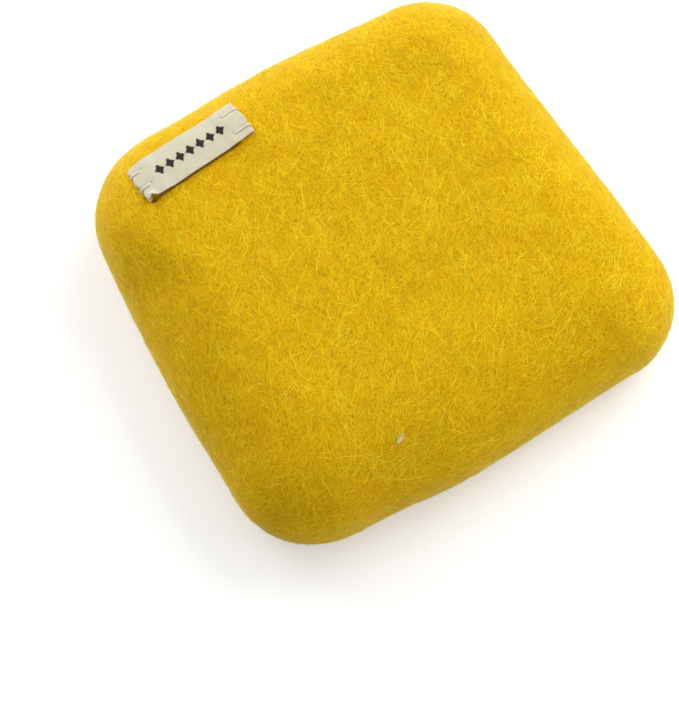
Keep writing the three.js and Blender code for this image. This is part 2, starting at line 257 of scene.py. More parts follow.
# %% Block with rounded edges
BLOCK_SIDE, BLOCK_HEIGHT = 194 * MM, 47 * MM
BLOCK_CORNER, BLOCK_RIM, BLOCK_FOOT = 34 * MM, 27 * MM, 11 * MM
deselect_all()
bpy.ops.mesh.primitive_cube_add(size=1, location=(0, 0, BLOCK_HEIGHT / 2))
cover = bpy.context.object
cover.name = cover.data.name = "felt_cover"
cover.scale = (BLOCK_SIDE, BLOCK_SIDE, BLOCK_HEIGHT)
bpy.ops.object.transform_apply(location=True, rotation=True, scale=True)
bpy.ops.object.mode_set(mode="EDIT")
uprights = pick(cover, "EDGE", lambda ends: abs(ends[0].z - ends[1].z) > BLOCK_HEIGHT / 2)
bpy.ops.mesh.bevel(offset=BLOCK_CORNER, segments=8, affect="EDGES")
rim = pick(cover, "EDGE", lambda ends: all(v.z > BLOCK_HEIGHT - MM for v in ends))
bpy.ops.mesh.bevel(offset=BLOCK_RIM, segments=8, affect="EDGES")
foot = pick(cover, "EDGE", lambda ends: all(v.z < MM for v in ends))
bpy.ops.mesh.bevel(offset=BLOCK_FOOT, segments=5, affect="EDGES")
bpy.ops.object.mode_set(mode="OBJECT")
print("block: beveled", uprights, "uprights,", rim, "upper and", foot, "lower rim edges")

# %% [markdown]
# ## Felting and filling
# Felt has no seams: the wet wool shrinks round its filling until it is taut. Blender's Cloth does
# much the same when it has pressure inside and no gravity. The block is remeshed into even squares,
# blown up for 20 frames, and no point may move further than a few millimetres.
# Then every point is drawn most of the way onto the measured form, along a line from a flat plate
# deep inside, the pad's heart. That is a sculptor's move in code, and it is what makes the outline
# match the photograph.

# %% Swell the block with Cloth
COVER_CELL = 2.6 * MM
SWELL_FRAMES, SWELL_PRESSURE, SWELL_CAP = 20, 4, 5 * MM
TINY = 1e-12


def points_of(piece):
    """The places of a mesh's points, one row each."""
    points = np.empty(len(piece.data.vertices) * 3)
    piece.data.vertices.foreach_get("co", points)
    return points.reshape(-1, 3)


def move_points(piece, points):
    """Puts a mesh's points at new places."""
    piece.data.vertices.foreach_set("co", np.ascontiguousarray(points).ravel())
    piece.data.update()


cover.data.remesh_voxel_size = COVER_CELL
bpy.ops.object.voxel_remesh()
before = points_of(cover)
swelling = cover.modifiers.new("swelling", "CLOTH")
swelling.settings.quality = 4
swelling.settings.use_pressure = True
swelling.settings.uniform_pressure_force = SWELL_PRESSURE
swelling.settings.effector_weights.gravity = 0
swelling.point_cache.frame_start, swelling.point_cache.frame_end = 1, SWELL_FRAMES
for number in range(1, SWELL_FRAMES + 1):
    scene.frame_set(number)
apply_modifier(cover, "swelling")
scene.frame_set(1)
swell = points_of(cover) - before
far = np.linalg.norm(swell, axis=1, keepdims=True)
move_points(cover, before + swell * np.minimum(1, SWELL_CAP / np.maximum(far, TINY)))
print("cover:", len(before), "points, swollen by up to", in_mm([min(far.max(), SWELL_CAP)], 2)[0], "mm")

# %% Draw the swollen block onto the measured form
DRAWN = 0.9
HEART_HALF, HEART_HEIGHT = 64 * MM, 15 * MM
LONGEST_RAY = 4.0
points = points_of(cover)
heart = np.clip(points, [-HEART_HALF, -HEART_HALF, HEART_HEIGHT], [HEART_HALF, HEART_HALF, HEART_HEIGHT])
ray = points - heart
near, far = np.full(len(points), 0.0), np.full(len(points), LONGEST_RAY)
for _ in range(HALVINGS):
    middle = (near + far) / 2
    outside = beyond_form(heart + ray * middle[:, None]) > 0
    near, far = np.where(outside, near, middle), np.where(outside, middle, far)
formed = heart + ray * near[:, None]
move_points(cover, points + (formed - points) * DRAWN)
print("drawn by up to", in_mm([np.linalg.norm(formed - points, axis=1).max() * DRAWN], 2)[0], "mm")

# %% [markdown]
# ## Where the label lies
# The label's place is needed before the felt gets its lumps, because sewing on a label presses the
# felt smooth. It lies on the shoulder near the left back corner, turned by 6 degrees. Its frame has
# one axis along the tape, one across it, and one straight out of the felt.

# %% The label's frame on the felt
LABEL_TURN = math.radians(6)
LABEL_LENGTH, LABEL_WIDTH = 53 * MM, 19 * MM
LABEL_X, LABEL_Y = -45.5 * MM, 67.5 * MM
LABEL_DEPTH = 15 * MM


def felt_height(x, y):
    """Height of the measured form's top at one place."""
    x, y = np.atleast_1d(x), np.atleast_1d(y)
    return top_height(inset_of(x, y), *shoulder(x, y))[0]


label_middle = np.array([LABEL_X, LABEL_Y, felt_height(LABEL_X, LABEL_Y)])
slope_x = (felt_height(LABEL_X + MM, LABEL_Y) - felt_height(LABEL_X - MM, LABEL_Y)) / (2 * MM)
slope_y = (felt_height(LABEL_X, LABEL_Y + MM) - felt_height(LABEL_X, LABEL_Y - MM)) / (2 * MM)
label_out = np.array([-slope_x, -slope_y, 1.0]) / math.sqrt(slope_x ** 2 + slope_y ** 2 + 1)
label_along = np.array([math.cos(LABEL_TURN), math.sin(LABEL_TURN), 0])
label_along -= label_out * (label_along @ label_out)
label_along /= np.linalg.norm(label_along)
label_across = np.cross(label_out, label_along)


def label_place(points):
    """Points in the label's frame: along, across and out of the felt."""
    return (points - label_middle) @ np.array([label_along, label_across, label_out]).T


def under_label(points, margin):
    """1 under the label, falling to 0 over the margin round it."""
    place = label_place(points)
    beyond = np.maximum(np.abs(place[:, 0]) - LABEL_LENGTH / 2, np.abs(place[:, 1]) - LABEL_WIDTH / 2)
    near = np.clip(1 - beyond / margin, 0, 1)
    return np.where(place[:, 2] > -LABEL_DEPTH, near * near * (3 - 2 * near), 0)


print("label leans", round(math.degrees(math.acos(label_out[2])), 1), "degrees out of level")

# %% [markdown]
# ## Lumps from felting by hand
# One subdivision rounds the squares off. Then three Displace modifiers with cloud textures push the
# surface in and out: slow swells as wide as a thumb, hollows as wide as a pea, and fine matting.
# A vertex group holds the felt smooth under the label. The foot is kept flat, a little above the
# table, because the mat stands on the fuzz of its own hairs. Sewing has also drawn a tuck into the
# felt under the label's lower edge, which makes the dark line that sets the label off, and a pit
# beside the left fold.

# %% Inner wall, kept before the lumps
COVER_THICKNESS = 4 * MM
make_active(cover)
bpy.ops.object.duplicate()
inner_wall = bpy.context.object
inner_wall.name = "felt_inner_wall"
bpy.ops.object.mode_set(mode="EDIT")
bpy.ops.mesh.select_all(action="SELECT")
bpy.ops.transform.shrink_fatten(value=-COVER_THICKNESS)
bpy.ops.mesh.flip_normals()
bpy.ops.object.mode_set(mode="OBJECT")
inner_heights = points_of(inner_wall)[:, 2]
print("inner wall between", in_mm([inner_heights.min(), inner_heights.max()], 2), "mm of height")

# %% Subdivide and push the lumps
FUZZ = 0.3 * MM
SMOOTH_MARGIN = 6 * MM
FELT_LUMPS = (("swells", 34 * MM, 1.0 * MM), ("hollows", 9 * MM, 0.3 * MM), ("matting", 3 * MM, 0.16 * MM))
rounding = cover.modifiers.new("rounding", "SUBSURF")
rounding.levels = rounding.render_levels = 1
apply_modifier(cover, "rounding")
loose = cover.vertex_groups.new(name="loose_felt")
for index, share in enumerate(under_label(points_of(cover), SMOOTH_MARGIN)):
    loose.add([index], float(1 - share), "REPLACE")
for name, width, height in FELT_LUMPS:
    clouds = bpy.data.textures.new(name, "CLOUDS")
    clouds.noise_scale, clouds.noise_depth = width, 1
    push = cover.modifiers.new(name, "DISPLACE")
    push.texture, push.texture_coords = clouds, "LOCAL"
    push.vertex_group = "loose_felt"
    push.strength, push.mid_level = height, 0.5
    apply_modifier(cover, name)
points = points_of(cover)
points[:, 2] = np.maximum(points[:, 2], FUZZ)
move_points(cover, points)
cover.vertex_groups.clear()
print("cover has", len(cover.data.polygons), "faces and is", in_mm([np.ptp(points[:, 2])], 2)[0], "mm high")

# %% Tuck the felt in at the label, and find it again
TUCK = 2.3 * MM
TUCK_AT, TUCK_WIDTH = -8.2 * MM, 1.5 * MM
TUCK_ENDS_LEFT, TUCK_ENDS_RIGHT = (24 * MM, 27 * MM), (16 * MM, 20 * MM)
PIT_ALONG, PIT_LENGTH = -23.9 * MM, 1.8 * MM
PIT_ACROSS, PIT_WIDTH = -8.4 * MM, 1.6 * MM
PIT_DEEPER = 1.7
label_tree = BVHTree.FromObject(cover, bpy.context.evaluated_depsgraph_get())
along, across, out = label_place(points).T
tuck_length = (1 - ease(*TUCK_ENDS_RIGHT, along)) * (1 - ease(*TUCK_ENDS_LEFT, -along))
tucked = under_label(points, MM) * hump(across, TUCK_AT, TUCK_WIDTH) * tuck_length
pit = hump(along, PIT_ALONG, PIT_LENGTH) * hump(across, PIT_ACROSS, PIT_WIDTH) * (out > -LABEL_DEPTH)
points -= label_out * (TUCK * np.maximum(tucked, PIT_DEEPER * pit))[:, None]
move_points(cover, points)
felt_tree = BVHTree.FromObject(cover, bpy.context.evaluated_depsgraph_get())
make_active(cover)
inner_wall.select_set(True)
bpy.ops.object.join()
bpy.ops.object.shade_smooth()
print("cover with its inner wall:", len(cover.data.polygons), "faces")

# %% [markdown]
# ## The felt's finish
# Close up, felt is not one yellow. Most hairs lie near one grain, which carding left in the wool.
# Small gaps between them lie in shade, and patches are paler or browner where the dye took differently.
# Noise that is stretched far along one line looks like hairs, so three such noises are turned a
# little against each other and the strongest wins at each point. A shorter noise paints the shade
# in the gaps as darker spots, and a slow one the patches. The same hairs feed a bump. A strong
# sheen stands for the fuzz: it turns the felt pale where it is seen at a slant, as along the far rim.

# %% Node helpers
def blank_material(name):
    """A new material, its node tree and its shader."""
    material = bpy.data.materials.new(name)
    material.use_nodes = True
    return material, material.node_tree, material.node_tree.nodes["Principled BSDF"]


def add_node(tree, kind, settings=None, **inputs):
    """Adds a node. Inputs are numbers or colours to set, or sockets to link from."""
    node = tree.nodes.new(kind)
    for key, value in (settings or {}).items():
        setattr(node, key, value)
    for key, value in inputs.items():
        numbered = key[0] == "i" and key[1:].isdigit()
        socket = node.inputs[int(key[1:]) if numbered else key.replace("_", " ")]
        if isinstance(value, bpy.types.NodeSocket):
            tree.links.new(value, socket)
        else:
            socket.default_value = value
    return node


def set_shader(shader, **values):
    """Sets the shader's own sockets to constants."""
    for key, value in values.items():
        shader.inputs[key.replace("_", " ")].default_value = value


def object_place(tree):
    """Places on the object itself, for a pattern to follow."""
    return add_node(tree, "ShaderNodeTexCoord").outputs["Object"]


def noise(tree, place, scale=1.0, **inputs):
    """A grey noise."""
    return add_node(tree, "ShaderNodeTexNoise", Vector=place, Scale=scale, **inputs).outputs["Fac"]


def maths(tree, operation, first, second=0.0):
    """One step of arithmetic on grey values."""
    return add_node(tree, "ShaderNodeMath", {"operation": operation}, i0=first, i1=second).outputs[0]


def multiplied(tree, first, second):
    """Two colours multiplied."""
    kind = {"data_type": "RGBA", "blend_type": "MULTIPLY"}
    return add_node(tree, "ShaderNodeMix", kind, i0=1.0, i6=first, i7=second).outputs[2]


def colour_steps(tree, factor, steps):
    """A colour ramp through (position, colour) steps."""
    ramp = add_node(tree, "ShaderNodeValToRGB", Fac=factor)
    while len(ramp.color_ramp.elements) < len(steps):
        ramp.color_ramp.elements.new(0.5)
    for element, (position, colour) in zip(ramp.color_ramp.elements, steps):
        element.position, element.color = position, (*colour, 1)
    return ramp.outputs["Color"]


def add_bump(tree, shader, height, strength, distance):
    """Lets a grey pattern tilt the light on the surface."""
    bump = add_node(tree, "ShaderNodeBump", Strength=strength, Distance=distance, Height=height)
    tree.links.new(bump.outputs[0], shader.inputs["Normal"])


felt_finish, tree, shader = blank_material("dyed_felt")
print("a new material starts with", len(tree.nodes), "nodes")

# %% The felt material
HAIR_TURNS = ((0.2, 0.1, -1.05), (0.1, -0.2, -0.38), (-0.2, 0.15, 0.3))
HAIR_WIDTH, HAIR_LENGTH = 0.42 * MM, 2.8 * MM
HAIR_SHADES = ((0.46, (0.64, 0.345, 0.002)), (0.58, (0.78, 0.450, 0.004)), (0.70, (0.87, 0.543, 0.007)))
GRAIN_TURN = 68
# The gap steps paint shade: darker spots in the colour for the gaps between hairs.
GAP_SHADE_LENGTH, GAP_SHADE_WIDTH = 1.2 * MM, 0.6 * MM
UNTINTED = (1.0, 1.0, 1.0)
PAINTED_GAP_SHADE_STEPS = ((0.36, (0.74, 0.655, 0.53)), (0.5, UNTINTED))
PATCH_SHADES, PATCHES_PER_METRE = ((0.3, (0.94, 0.93, 0.90)), (0.7, UNTINTED)), 28.0
FUZZ_SHEEN = {"Sheen_Roughness": 0.3, "Sheen_Tint": (0.98, 1.0, 0.46, 1)}
FELT_SHEEN = 0.9


def stretched(tree, place, turn, size):
    """Places turned and stretched, so that a noise there becomes streaks."""
    kind = {"vector_type": "TEXTURE"}
    return add_node(tree, "ShaderNodeMapping", kind, Vector=place, Rotation=turn, Scale=size).outputs[0]


def hair_pattern(tree, place, width, length):
    """Hairs of about that width and length, in three directions, as one grey value."""
    strongest = None
    for turn in HAIR_TURNS:
        line = stretched(tree, place, turn, (width, length, width))
        hairs = noise(tree, line, Detail=3.0, Roughness=0.6, Distortion=0.4)
        strongest = hairs if strongest is None else maths(tree, "MAXIMUM", strongest, hairs)
    return strongest


place = object_place(tree)
hairs = hair_pattern(tree, place, HAIR_WIDTH, HAIR_LENGTH)
grain_place = stretched(tree, place, (0, 0, math.radians(GRAIN_TURN)), (GAP_SHADE_LENGTH, GAP_SHADE_WIDTH, GAP_SHADE_WIDTH))
# Painted shade: this noise darkens small spots of the felt's colour along the grain, for the shade in the
# gaps between hairs.
painted_gap_shade = colour_steps(tree, noise(tree, grain_place, Detail=1.0), PAINTED_GAP_SHADE_STEPS)
patch_colour = colour_steps(tree, noise(tree, place, PATCHES_PER_METRE, Detail=2.0), PATCH_SHADES)
patched = multiplied(tree, colour_steps(tree, hairs, HAIR_SHADES), patch_colour)
tree.links.new(multiplied(tree, patched, painted_gap_shade), shader.inputs["Base Color"])
add_bump(tree, shader, hairs, strength=0.6, distance=0.4 * MM)
set_shader(shader, Roughness=0.95, Specular_IOR_Level=0.05, Sheen_Weight=FELT_SHEEN, **FUZZ_SHEEN)
cover.data.materials.clear()
cover.data.materials.append(felt_finish)
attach(cover, "root")
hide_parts("upper_felt_cover", "lower_felt_cover")
print("felt finish has", len(tree.nodes), "nodes")

# %% [markdown]
# ## Matted strands of wool
# What makes felt look like felt is its hairs: fine, curly locks that wander over the surface and
# dive back into it. A pattern alone looks printed, so thousands of real strands are laid here. Each
# is a thin three-sided tube of a few dozen faces with a point at both ends. It starts somewhere on
# the felt, walks along it while it curls, and its ends sink into the cover.
# No operator lays hairs as meshes, so they are built from arrays of points. Strands come in locks
# of near neighbours that run the same way, close to the grain, as carded wool does.
# One more thing matters. A tube that is shaded as a tube has a dark side, and fifty thousand dark
# sides look like wire. So each strand is given custom normals that mostly point the way the felt
# points. Then the light and the sheen act on the whole mat as they do on real fuzz.

# %% Start points on the felt
UNDERSIDE, UNDERSIDE_SHARE = -0.9, 0.35
dice = np.random.default_rng(20)
cover.data.calc_loop_triangles()
corners = np.empty(len(cover.data.loop_triangles) * 3, np.int32)
cover.data.loop_triangles.foreach_get("vertices", corners)
triangles = points_of(cover)[corners.reshape(-1, 3)]
turned_out = np.cross(triangles[:, 1] - triangles[:, 0], triangles[:, 2] - triangles[:, 0])
triangle_areas = np.linalg.norm(turned_out, axis=1) / 2
facing = turned_out[:, 2] / np.maximum(2 * triangle_areas, TINY)
# The outer skin's triangles come first, about two for each of its points.
outer_triangles = 2 * len(points)
weights = triangle_areas.copy()
weights[outer_triangles:] = 0
weights[facing < UNDERSIDE] *= UNDERSIDE_SHARE
weights /= weights.sum()


def felt_points(count):
    """Points spread evenly over the felt's outside, with fewer underneath."""
    chosen = dice.choice(len(triangles), count, p=weights)
    a, b = dice.random((2, count))
    a, b = np.where(a + b > 1, 1 - a, a), np.where(a + b > 1, 1 - b, b)
    t = triangles[chosen]
    return t[:, 0] + (t[:, 1] - t[:, 0]) * a[:, None] + (t[:, 2] - t[:, 0]) * b[:, None]


print("felt area:", round(float(triangle_areas[:outer_triangles].sum() * 1e4), 1), "square cm")

# %% Walk the strands over the felt
JOINTS = 6
GRAIN_FAN, GRAIN_FAN_REACH, GRAIN_STRAY = 25, 90 * MM, 0.42
LOCK_TILT, LOCK_FAN = 0.3, 0.35


def unit(vectors):
    """Vectors made one long, along their last axis."""
    return vectors / np.maximum(np.linalg.norm(vectors, axis=-1, keepdims=True), TINY)


def along_felt(vectors, out):
    """What is left of vectors when they are laid flat on the felt, made one long."""
    return unit(vectors - out * (vectors * out).sum(1, keepdims=True))


def onto_felt(points):
    """The nearest points of the felt and the directions out of it."""
    found = [felt_tree.find_nearest(p) for p in points.tolist()]
    return np.array([f[0] for f in found]), np.array([f[1] for f in found])


def walk(starts, headings, lengths, curls, wander):
    """Carries strands over the felt in equal steps. Returns their joints and the ways out of the felt."""
    here, out = onto_felt(starts)
    path, outs = [here], [out]
    step = lengths[:, None] / (JOINTS - 1)
    for _ in range(JOINTS - 1):
        headings = along_felt(headings, out)
        turn = (curls + dice.normal(0, wander, len(starts)))[:, None]
        headings = headings * np.cos(turn) + np.cross(out, headings) * np.sin(turn)
        here, out = onto_felt(here + headings * step)
        path.append(here)
        outs.append(out)
    return np.stack(path, 1), np.stack(outs, 1)


def locks(count, per_lock, spread):
    """Start points and headings for strands in locks that follow the grain."""
    number = math.ceil(count / per_lock)
    middles = felt_points(number)
    _, out = onto_felt(middles)
    grain = np.radians(GRAIN_TURN + GRAIN_FAN * middles[:, 1] / GRAIN_FAN_REACH)
    grain = grain + dice.normal(0, GRAIN_STRAY, number)
    aim = np.c_[np.cos(grain), np.sin(grain), dice.normal(0, LOCK_TILT, number)]
    aim = along_felt(aim, out) * dice.choice([-1, 1], (number, 1))
    sideways = np.cross(out, aim)
    middles, aim, sideways = (np.repeat(a, per_lock, 0)[:count] for a in (middles, aim, sideways))
    starts = middles + aim * dice.normal(0, 2 * spread, (count, 1))
    starts = starts + sideways * dice.normal(0, spread, (count, 1))
    angle = dice.normal(0, LOCK_FAN, (count, 1))
    return starts, aim * np.cos(angle) + sideways * np.sin(angle)


print("a strand has", JOINTS, "joints and", 6 * (JOINTS - 2), "triangles")

# %% One strand's faces
UV_ROWS, UV_ROW_EDGE = 256, 0.05


def strand_faces():
    """Faces of one closed three-sided tube, with each corner's joint and its place round the tube."""
    faces, joints, around = [], [], []
    last = 1 + 3 * (JOINTS - 2)
    for side in range(3):
        beside = (side + 1) % 3
        faces.append((0, 1 + beside, 1 + side))
        joints.append((0, 1, 1))
        around.append((side, side + 1, side))
        for ring in range(JOINTS - 3):
            near, far = 1 + 3 * ring, 4 + 3 * ring
            faces.append((near + side, near + beside, far + beside, far + side))
            joints.append((ring + 1, ring + 1, ring + 2, ring + 2))
            around.append((side, side + 1, side + 1, side))
        faces.append((last - 3 + side, last - 3 + beside, last))
        joints.append((JOINTS - 2, JOINTS - 2, JOINTS - 1))
        around.append((side, side + 1, side))
    sizes = np.array([len(face) for face in faces])
    return sizes, *(np.concatenate(rows) for rows in (faces, joints, around))


FACE_SIZES, FACE_CORNERS, CORNER_JOINTS, CORNER_AROUND = strand_faces()
print("a strand has", len(FACE_SIZES), "faces")

# %% Build strands as tubes
ROUNDNESS = 0.3
TIP_DEPTH, TIP_WIDTH, ARCH_POWER = 0.25 * MM, 0.35, 0.6
TABLE_GAP = 0.12 * MM
PRESSED = 0.35


def strand_rings(path, outs, wide, lift, flatness):
    """Points and shading directions of tubes that arch out of the felt and sink into it at both ends."""
    count = len(path)
    arch = np.sin(np.pi * np.linspace(0, 1, JOINTS)) ** ARCH_POWER
    line = path + outs * (lift[:, None] * arch - TIP_DEPTH * (1 - arch))[:, :, None]
    line[:, :, 2] = np.maximum(line[:, :, 2], TABLE_GAP)
    run = unit(np.gradient(line, axis=1))
    side = unit(np.cross(run, outs))
    above = np.cross(side, run)[:, 1:-1]
    side = side[:, 1:-1]
    half_width = (wide[:, None] * (TIP_WIDTH + (1 - TIP_WIDTH) * arch))[:, 1:-1, None]
    rings, shading = [], []
    for angle in np.arange(3) * 2 * np.pi / 3:
        round_out = above * np.cos(angle) + side * np.sin(angle)
        rings.append(line[:, 1:-1] + half_width * (round_out - above * (1 - flatness) * np.cos(angle)))
        shading.append(outs[:, 1:-1] + ROUNDNESS * round_out)
    rings, shading = (np.stack(rows, 2).reshape(count, -1, 3) for rows in (rings, shading))
    verts = np.concatenate([line[:, :1], rings, line[:, -1:]], 1)
    return verts, np.concatenate([outs[:, :1], shading, outs[:, -1:]], 1)


def strand_mesh(name, path, outs, wide, lift, rows, flatness=PRESSED):
    """One piece of many strands. Rows give each strand its own line of the UV map, for its colour."""
    count = len(path)
    verts, normals = strand_rings(path, outs, wide, lift, flatness)
    each = np.arange(count)[:, None]
    loops = (FACE_CORNERS + verts.shape[1] * each).ravel()
    first = np.concatenate([[0], np.cumsum(FACE_SIZES)[:-1]])
    starts = (first + len(FACE_CORNERS) * each).ravel()
    mesh = bpy.data.meshes.new(name)
    mesh.vertices.add(count * verts.shape[1])
    mesh.vertices.foreach_set("co", verts.ravel())
    mesh.loops.add(len(loops))
    mesh.loops.foreach_set("vertex_index", loops.astype(np.int32))
    mesh.polygons.add(len(starts))
    mesh.polygons.foreach_set("loop_start", starts.astype(np.int32))
    uv = np.empty((count, len(FACE_CORNERS), 2))
    uv[:, :, 0] = CORNER_JOINTS / (JOINTS - 1)
    uv[:, :, 1] = (rows[:, None] + UV_ROW_EDGE + (1 - 2 * UV_ROW_EDGE) * CORNER_AROUND / 3) / UV_ROWS
    mesh.uv_layers.new(name="OFBake").data.foreach_set("uv", uv.ravel())
    mesh.update(calc_edges=True)
    mesh.polygons.foreach_set("use_smooth", np.ones(len(starts), bool))
    mesh.normals_split_custom_set_from_vertices(unit(normals.reshape(-1, 3)))
    piece = bpy.data.objects.new(name, mesh)
    scene.collection.objects.link(piece)
    return piece


print("strands are pressed to", PRESSED, "of their width, and their tips sink", TIP_DEPTH / MM, "mm")

# %% [markdown]
# ## Three shades of strand
# Dyed wool is never even: each hair takes a little more or less. The lowest strands are deep golden,
# most are golden, and the last ones on top are pale: painted shade low in the mat and painted light
# on its top, which gives the felt its depth. Within each finish a noise along the rows of the UV map
# gives every strand its own shade.

# %% The strands' finish
SHADE_ALONG, SHADE_SCALE = 1.6, 0.73
SHADE_STEPS = (0.38, 0.5, 0.62)


def strand_finish(name, *shades, sheen=FELT_SHEEN):
    """A dark, a middle and a pale shade. Each strand has its own, and fades a little along its length."""
    material, tree, shader = blank_material(name)
    strand_map = add_node(tree, "ShaderNodeUVMap", {"uv_map": "OFBake"})
    parts = add_node(tree, "ShaderNodeSeparateXYZ", Vector=strand_map.outputs[0])
    row = maths(tree, "FLOOR", maths(tree, "MULTIPLY", parts.outputs[1], float(UV_ROWS)))
    length = maths(tree, "MULTIPLY", parts.outputs[0], SHADE_ALONG)
    spot = add_node(tree, "ShaderNodeCombineXYZ", X=length, Y=row).outputs[0]
    shade = noise(tree, spot, SHADE_SCALE, Detail=1.0)
    tree.links.new(colour_steps(tree, shade, tuple(zip(SHADE_STEPS, shades))), shader.inputs["Base Color"])
    set_shader(shader, Roughness=0.8, Specular_IOR_Level=0.05, Sheen_Weight=sheen, **FUZZ_SHEEN)
    return material


# Painted shade and light: the deep shades go on the lowest strands, and the pale ones go on the top strands
# and on the stray hairs.
golden = strand_finish("golden_wool", (0.62, 0.338, 0.002), (0.80, 0.480, 0.004), (0.92, 0.593, 0.007))
deep = strand_finish("deep_golden_wool_painted_shade", (0.54, 0.275, 0.002), (0.71, 0.401, 0.003), (0.84, 0.510, 0.005))
pale = strand_finish("pale_golden_wool_painted_light", (0.81, 0.505, 0.005), (0.90, 0.608, 0.009), (0.97, 0.725, 0.03))
print("three finishes for the strands:", [finish.name for finish in (deep, golden, pale)])

# %% [markdown]
# ## Laying the strands
# Seven layers go on, from the deep ones to the pale ones. Most have short locks, which make the
# close, matted ground. Two have longer locks, which are the hairs that the eye follows over the mat.
# The short ones sink where the label presses on them, and the long ones stay clear of it.

# %% Lay the matted strands
STRANDS_EACH = 7700
SHORT_LOCKS = {"per_lock": 3, "spread": 0.7 * MM, "usual_mm": 6.2, "curl": 0.15, "wander": 0.16}
LONG_LOCKS = {"per_lock": 4, "spread": 0.6 * MM, "usual_mm": 12, "curl": 0.15, "wander": 0.13}
# The deep layers, laid first and lowest, carry painted shade. The pale ones, laid last and highest, carry
# painted light.
DEEP_SHADED_LAYER = (deep, 0.16 * MM, (-0.02 * MM, 0.06 * MM))
GOLDEN_LAYER = (golden, 0.15 * MM, (0.0, 0.12 * MM))
PALE_LIT_LAYER = (pale, 0.12 * MM, (0.05 * MM, 0.16 * MM))
STRAND_LAYERS = ((DEEP_SHADED_LAYER, SHORT_LOCKS), (DEEP_SHADED_LAYER, SHORT_LOCKS), (GOLDEN_LAYER, SHORT_LOCKS),
                 (GOLDEN_LAYER, SHORT_LOCKS), (GOLDEN_LAYER, LONG_LOCKS), (PALE_LIT_LAYER, SHORT_LOCKS),
                 (PALE_LIT_LAYER, LONG_LOCKS))
LENGTH_SPREAD, LENGTHS_MM = 0.45, (2.5, 30)
WIDTH_SPREAD, WIDTHS = 0.03 * MM, (0.06 * MM, 0.28 * MM)
PRESS_MARGIN, PRESS_DEPTH, CLEAR_OF_LABEL = 1.5 * MM, 0.35 * MM, 0.05
laid = 0
for number, ((finish, half_wide, lifts), lock) in enumerate(STRAND_LAYERS, 1):
    starts, headings = locks(STRANDS_EACH, lock["per_lock"], lock["spread"])
    lengths = dice.lognormal(math.log(lock["usual_mm"]), LENGTH_SPREAD, STRANDS_EACH)
    lengths = np.clip(lengths, *LENGTHS_MM) * MM
    curls = dice.normal(0, lock["curl"], STRANDS_EACH)
    path, outs = walk(starts, headings, lengths, curls, lock["wander"])
    hidden = under_label(path.reshape(-1, 3), PRESS_MARGIN).reshape(path.shape[:2])
    path = path - outs * (hidden * PRESS_DEPTH)[:, :, None]
    if lock is LONG_LOCKS:
        clear = hidden.max(1) < CLEAR_OF_LABEL
        path, outs = path[clear], outs[clear]
    count = len(path)
    wide = np.clip(dice.normal(half_wide, WIDTH_SPREAD, count), *WIDTHS)
    lift = dice.uniform(*lifts, count)
    rows = dice.integers(0, UV_ROWS, count)
    strands = strand_mesh(f"felt_strands_{number}", path, outs, wide, lift, rows)
    strands.data.materials.append(finish)
    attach(strands, "root")
    laid += count
print("laid", laid, "strands in", len(STRAND_LAYERS), "pieces")

# %% [markdown]
# ## Stray hairs
# Against the light the mat has a faint halo: single hairs that stand off the felt in low arches.
# They are the same tubes as the strands, but thinner, longer and lifted higher.

# %% Lay the stray hairs
STRAY_HAIRS, STRAY_SPREAD = 7200, 3 * MM
STRAY_USUAL_MM, STRAY_LENGTH_SPREAD, STRAY_LENGTHS_MM = 13, 0.5, (5, 40)
STRAY_CURL = STRAY_WANDER = 0.16
STRAY_MARGIN, STRAY_LOWEST = 3 * MM, 4 * MM
THICK_SHARE, THICK_MM, THIN_MM, STRAY_LIFT_MM = 0.1, (0.06, 0.085), (0.03, 0.055), (0.1, 0.6)
starts, headings = locks(STRAY_HAIRS, per_lock=2, spread=STRAY_SPREAD)
lengths = dice.lognormal(math.log(STRAY_USUAL_MM), STRAY_LENGTH_SPREAD, STRAY_HAIRS)
lengths = np.clip(lengths, *STRAY_LENGTHS_MM) * MM
path, outs = walk(starts, headings, lengths, dice.normal(0, STRAY_CURL, STRAY_HAIRS), STRAY_WANDER)
hidden = under_label(path.reshape(-1, 3), STRAY_MARGIN).reshape(path.shape[:2]).max(1)
kept = (hidden < CLEAR_OF_LABEL) & (path[:, :, 2].min(1) > STRAY_LOWEST)
path, outs = path[kept], outs[kept]
count = len(path)
is_thick = dice.random(count) < THICK_SHARE
wide = np.where(is_thick, dice.uniform(*THICK_MM, count), dice.uniform(*THIN_MM, count)) * MM
lift = dice.uniform(*STRAY_LIFT_MM, count) * MM
rows = dice.integers(0, UV_ROWS, count)
stray = strand_mesh("felt_stray_hairs", path, outs, wide, lift, rows, flatness=1.0)
# The pale shades on these highest hairs are partly painted light.
stray.data.materials.append(pale)
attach(stray, "root")
print("laid", count, "stray hairs")

# %% [markdown]
# ## A wisp of undyed wool
# Near the front corner a needle has pulled a tuft of the white filling out through the yellow. It is
# a small tuft of short hairs side by side, so the strand walk is used again with hardly any curl.

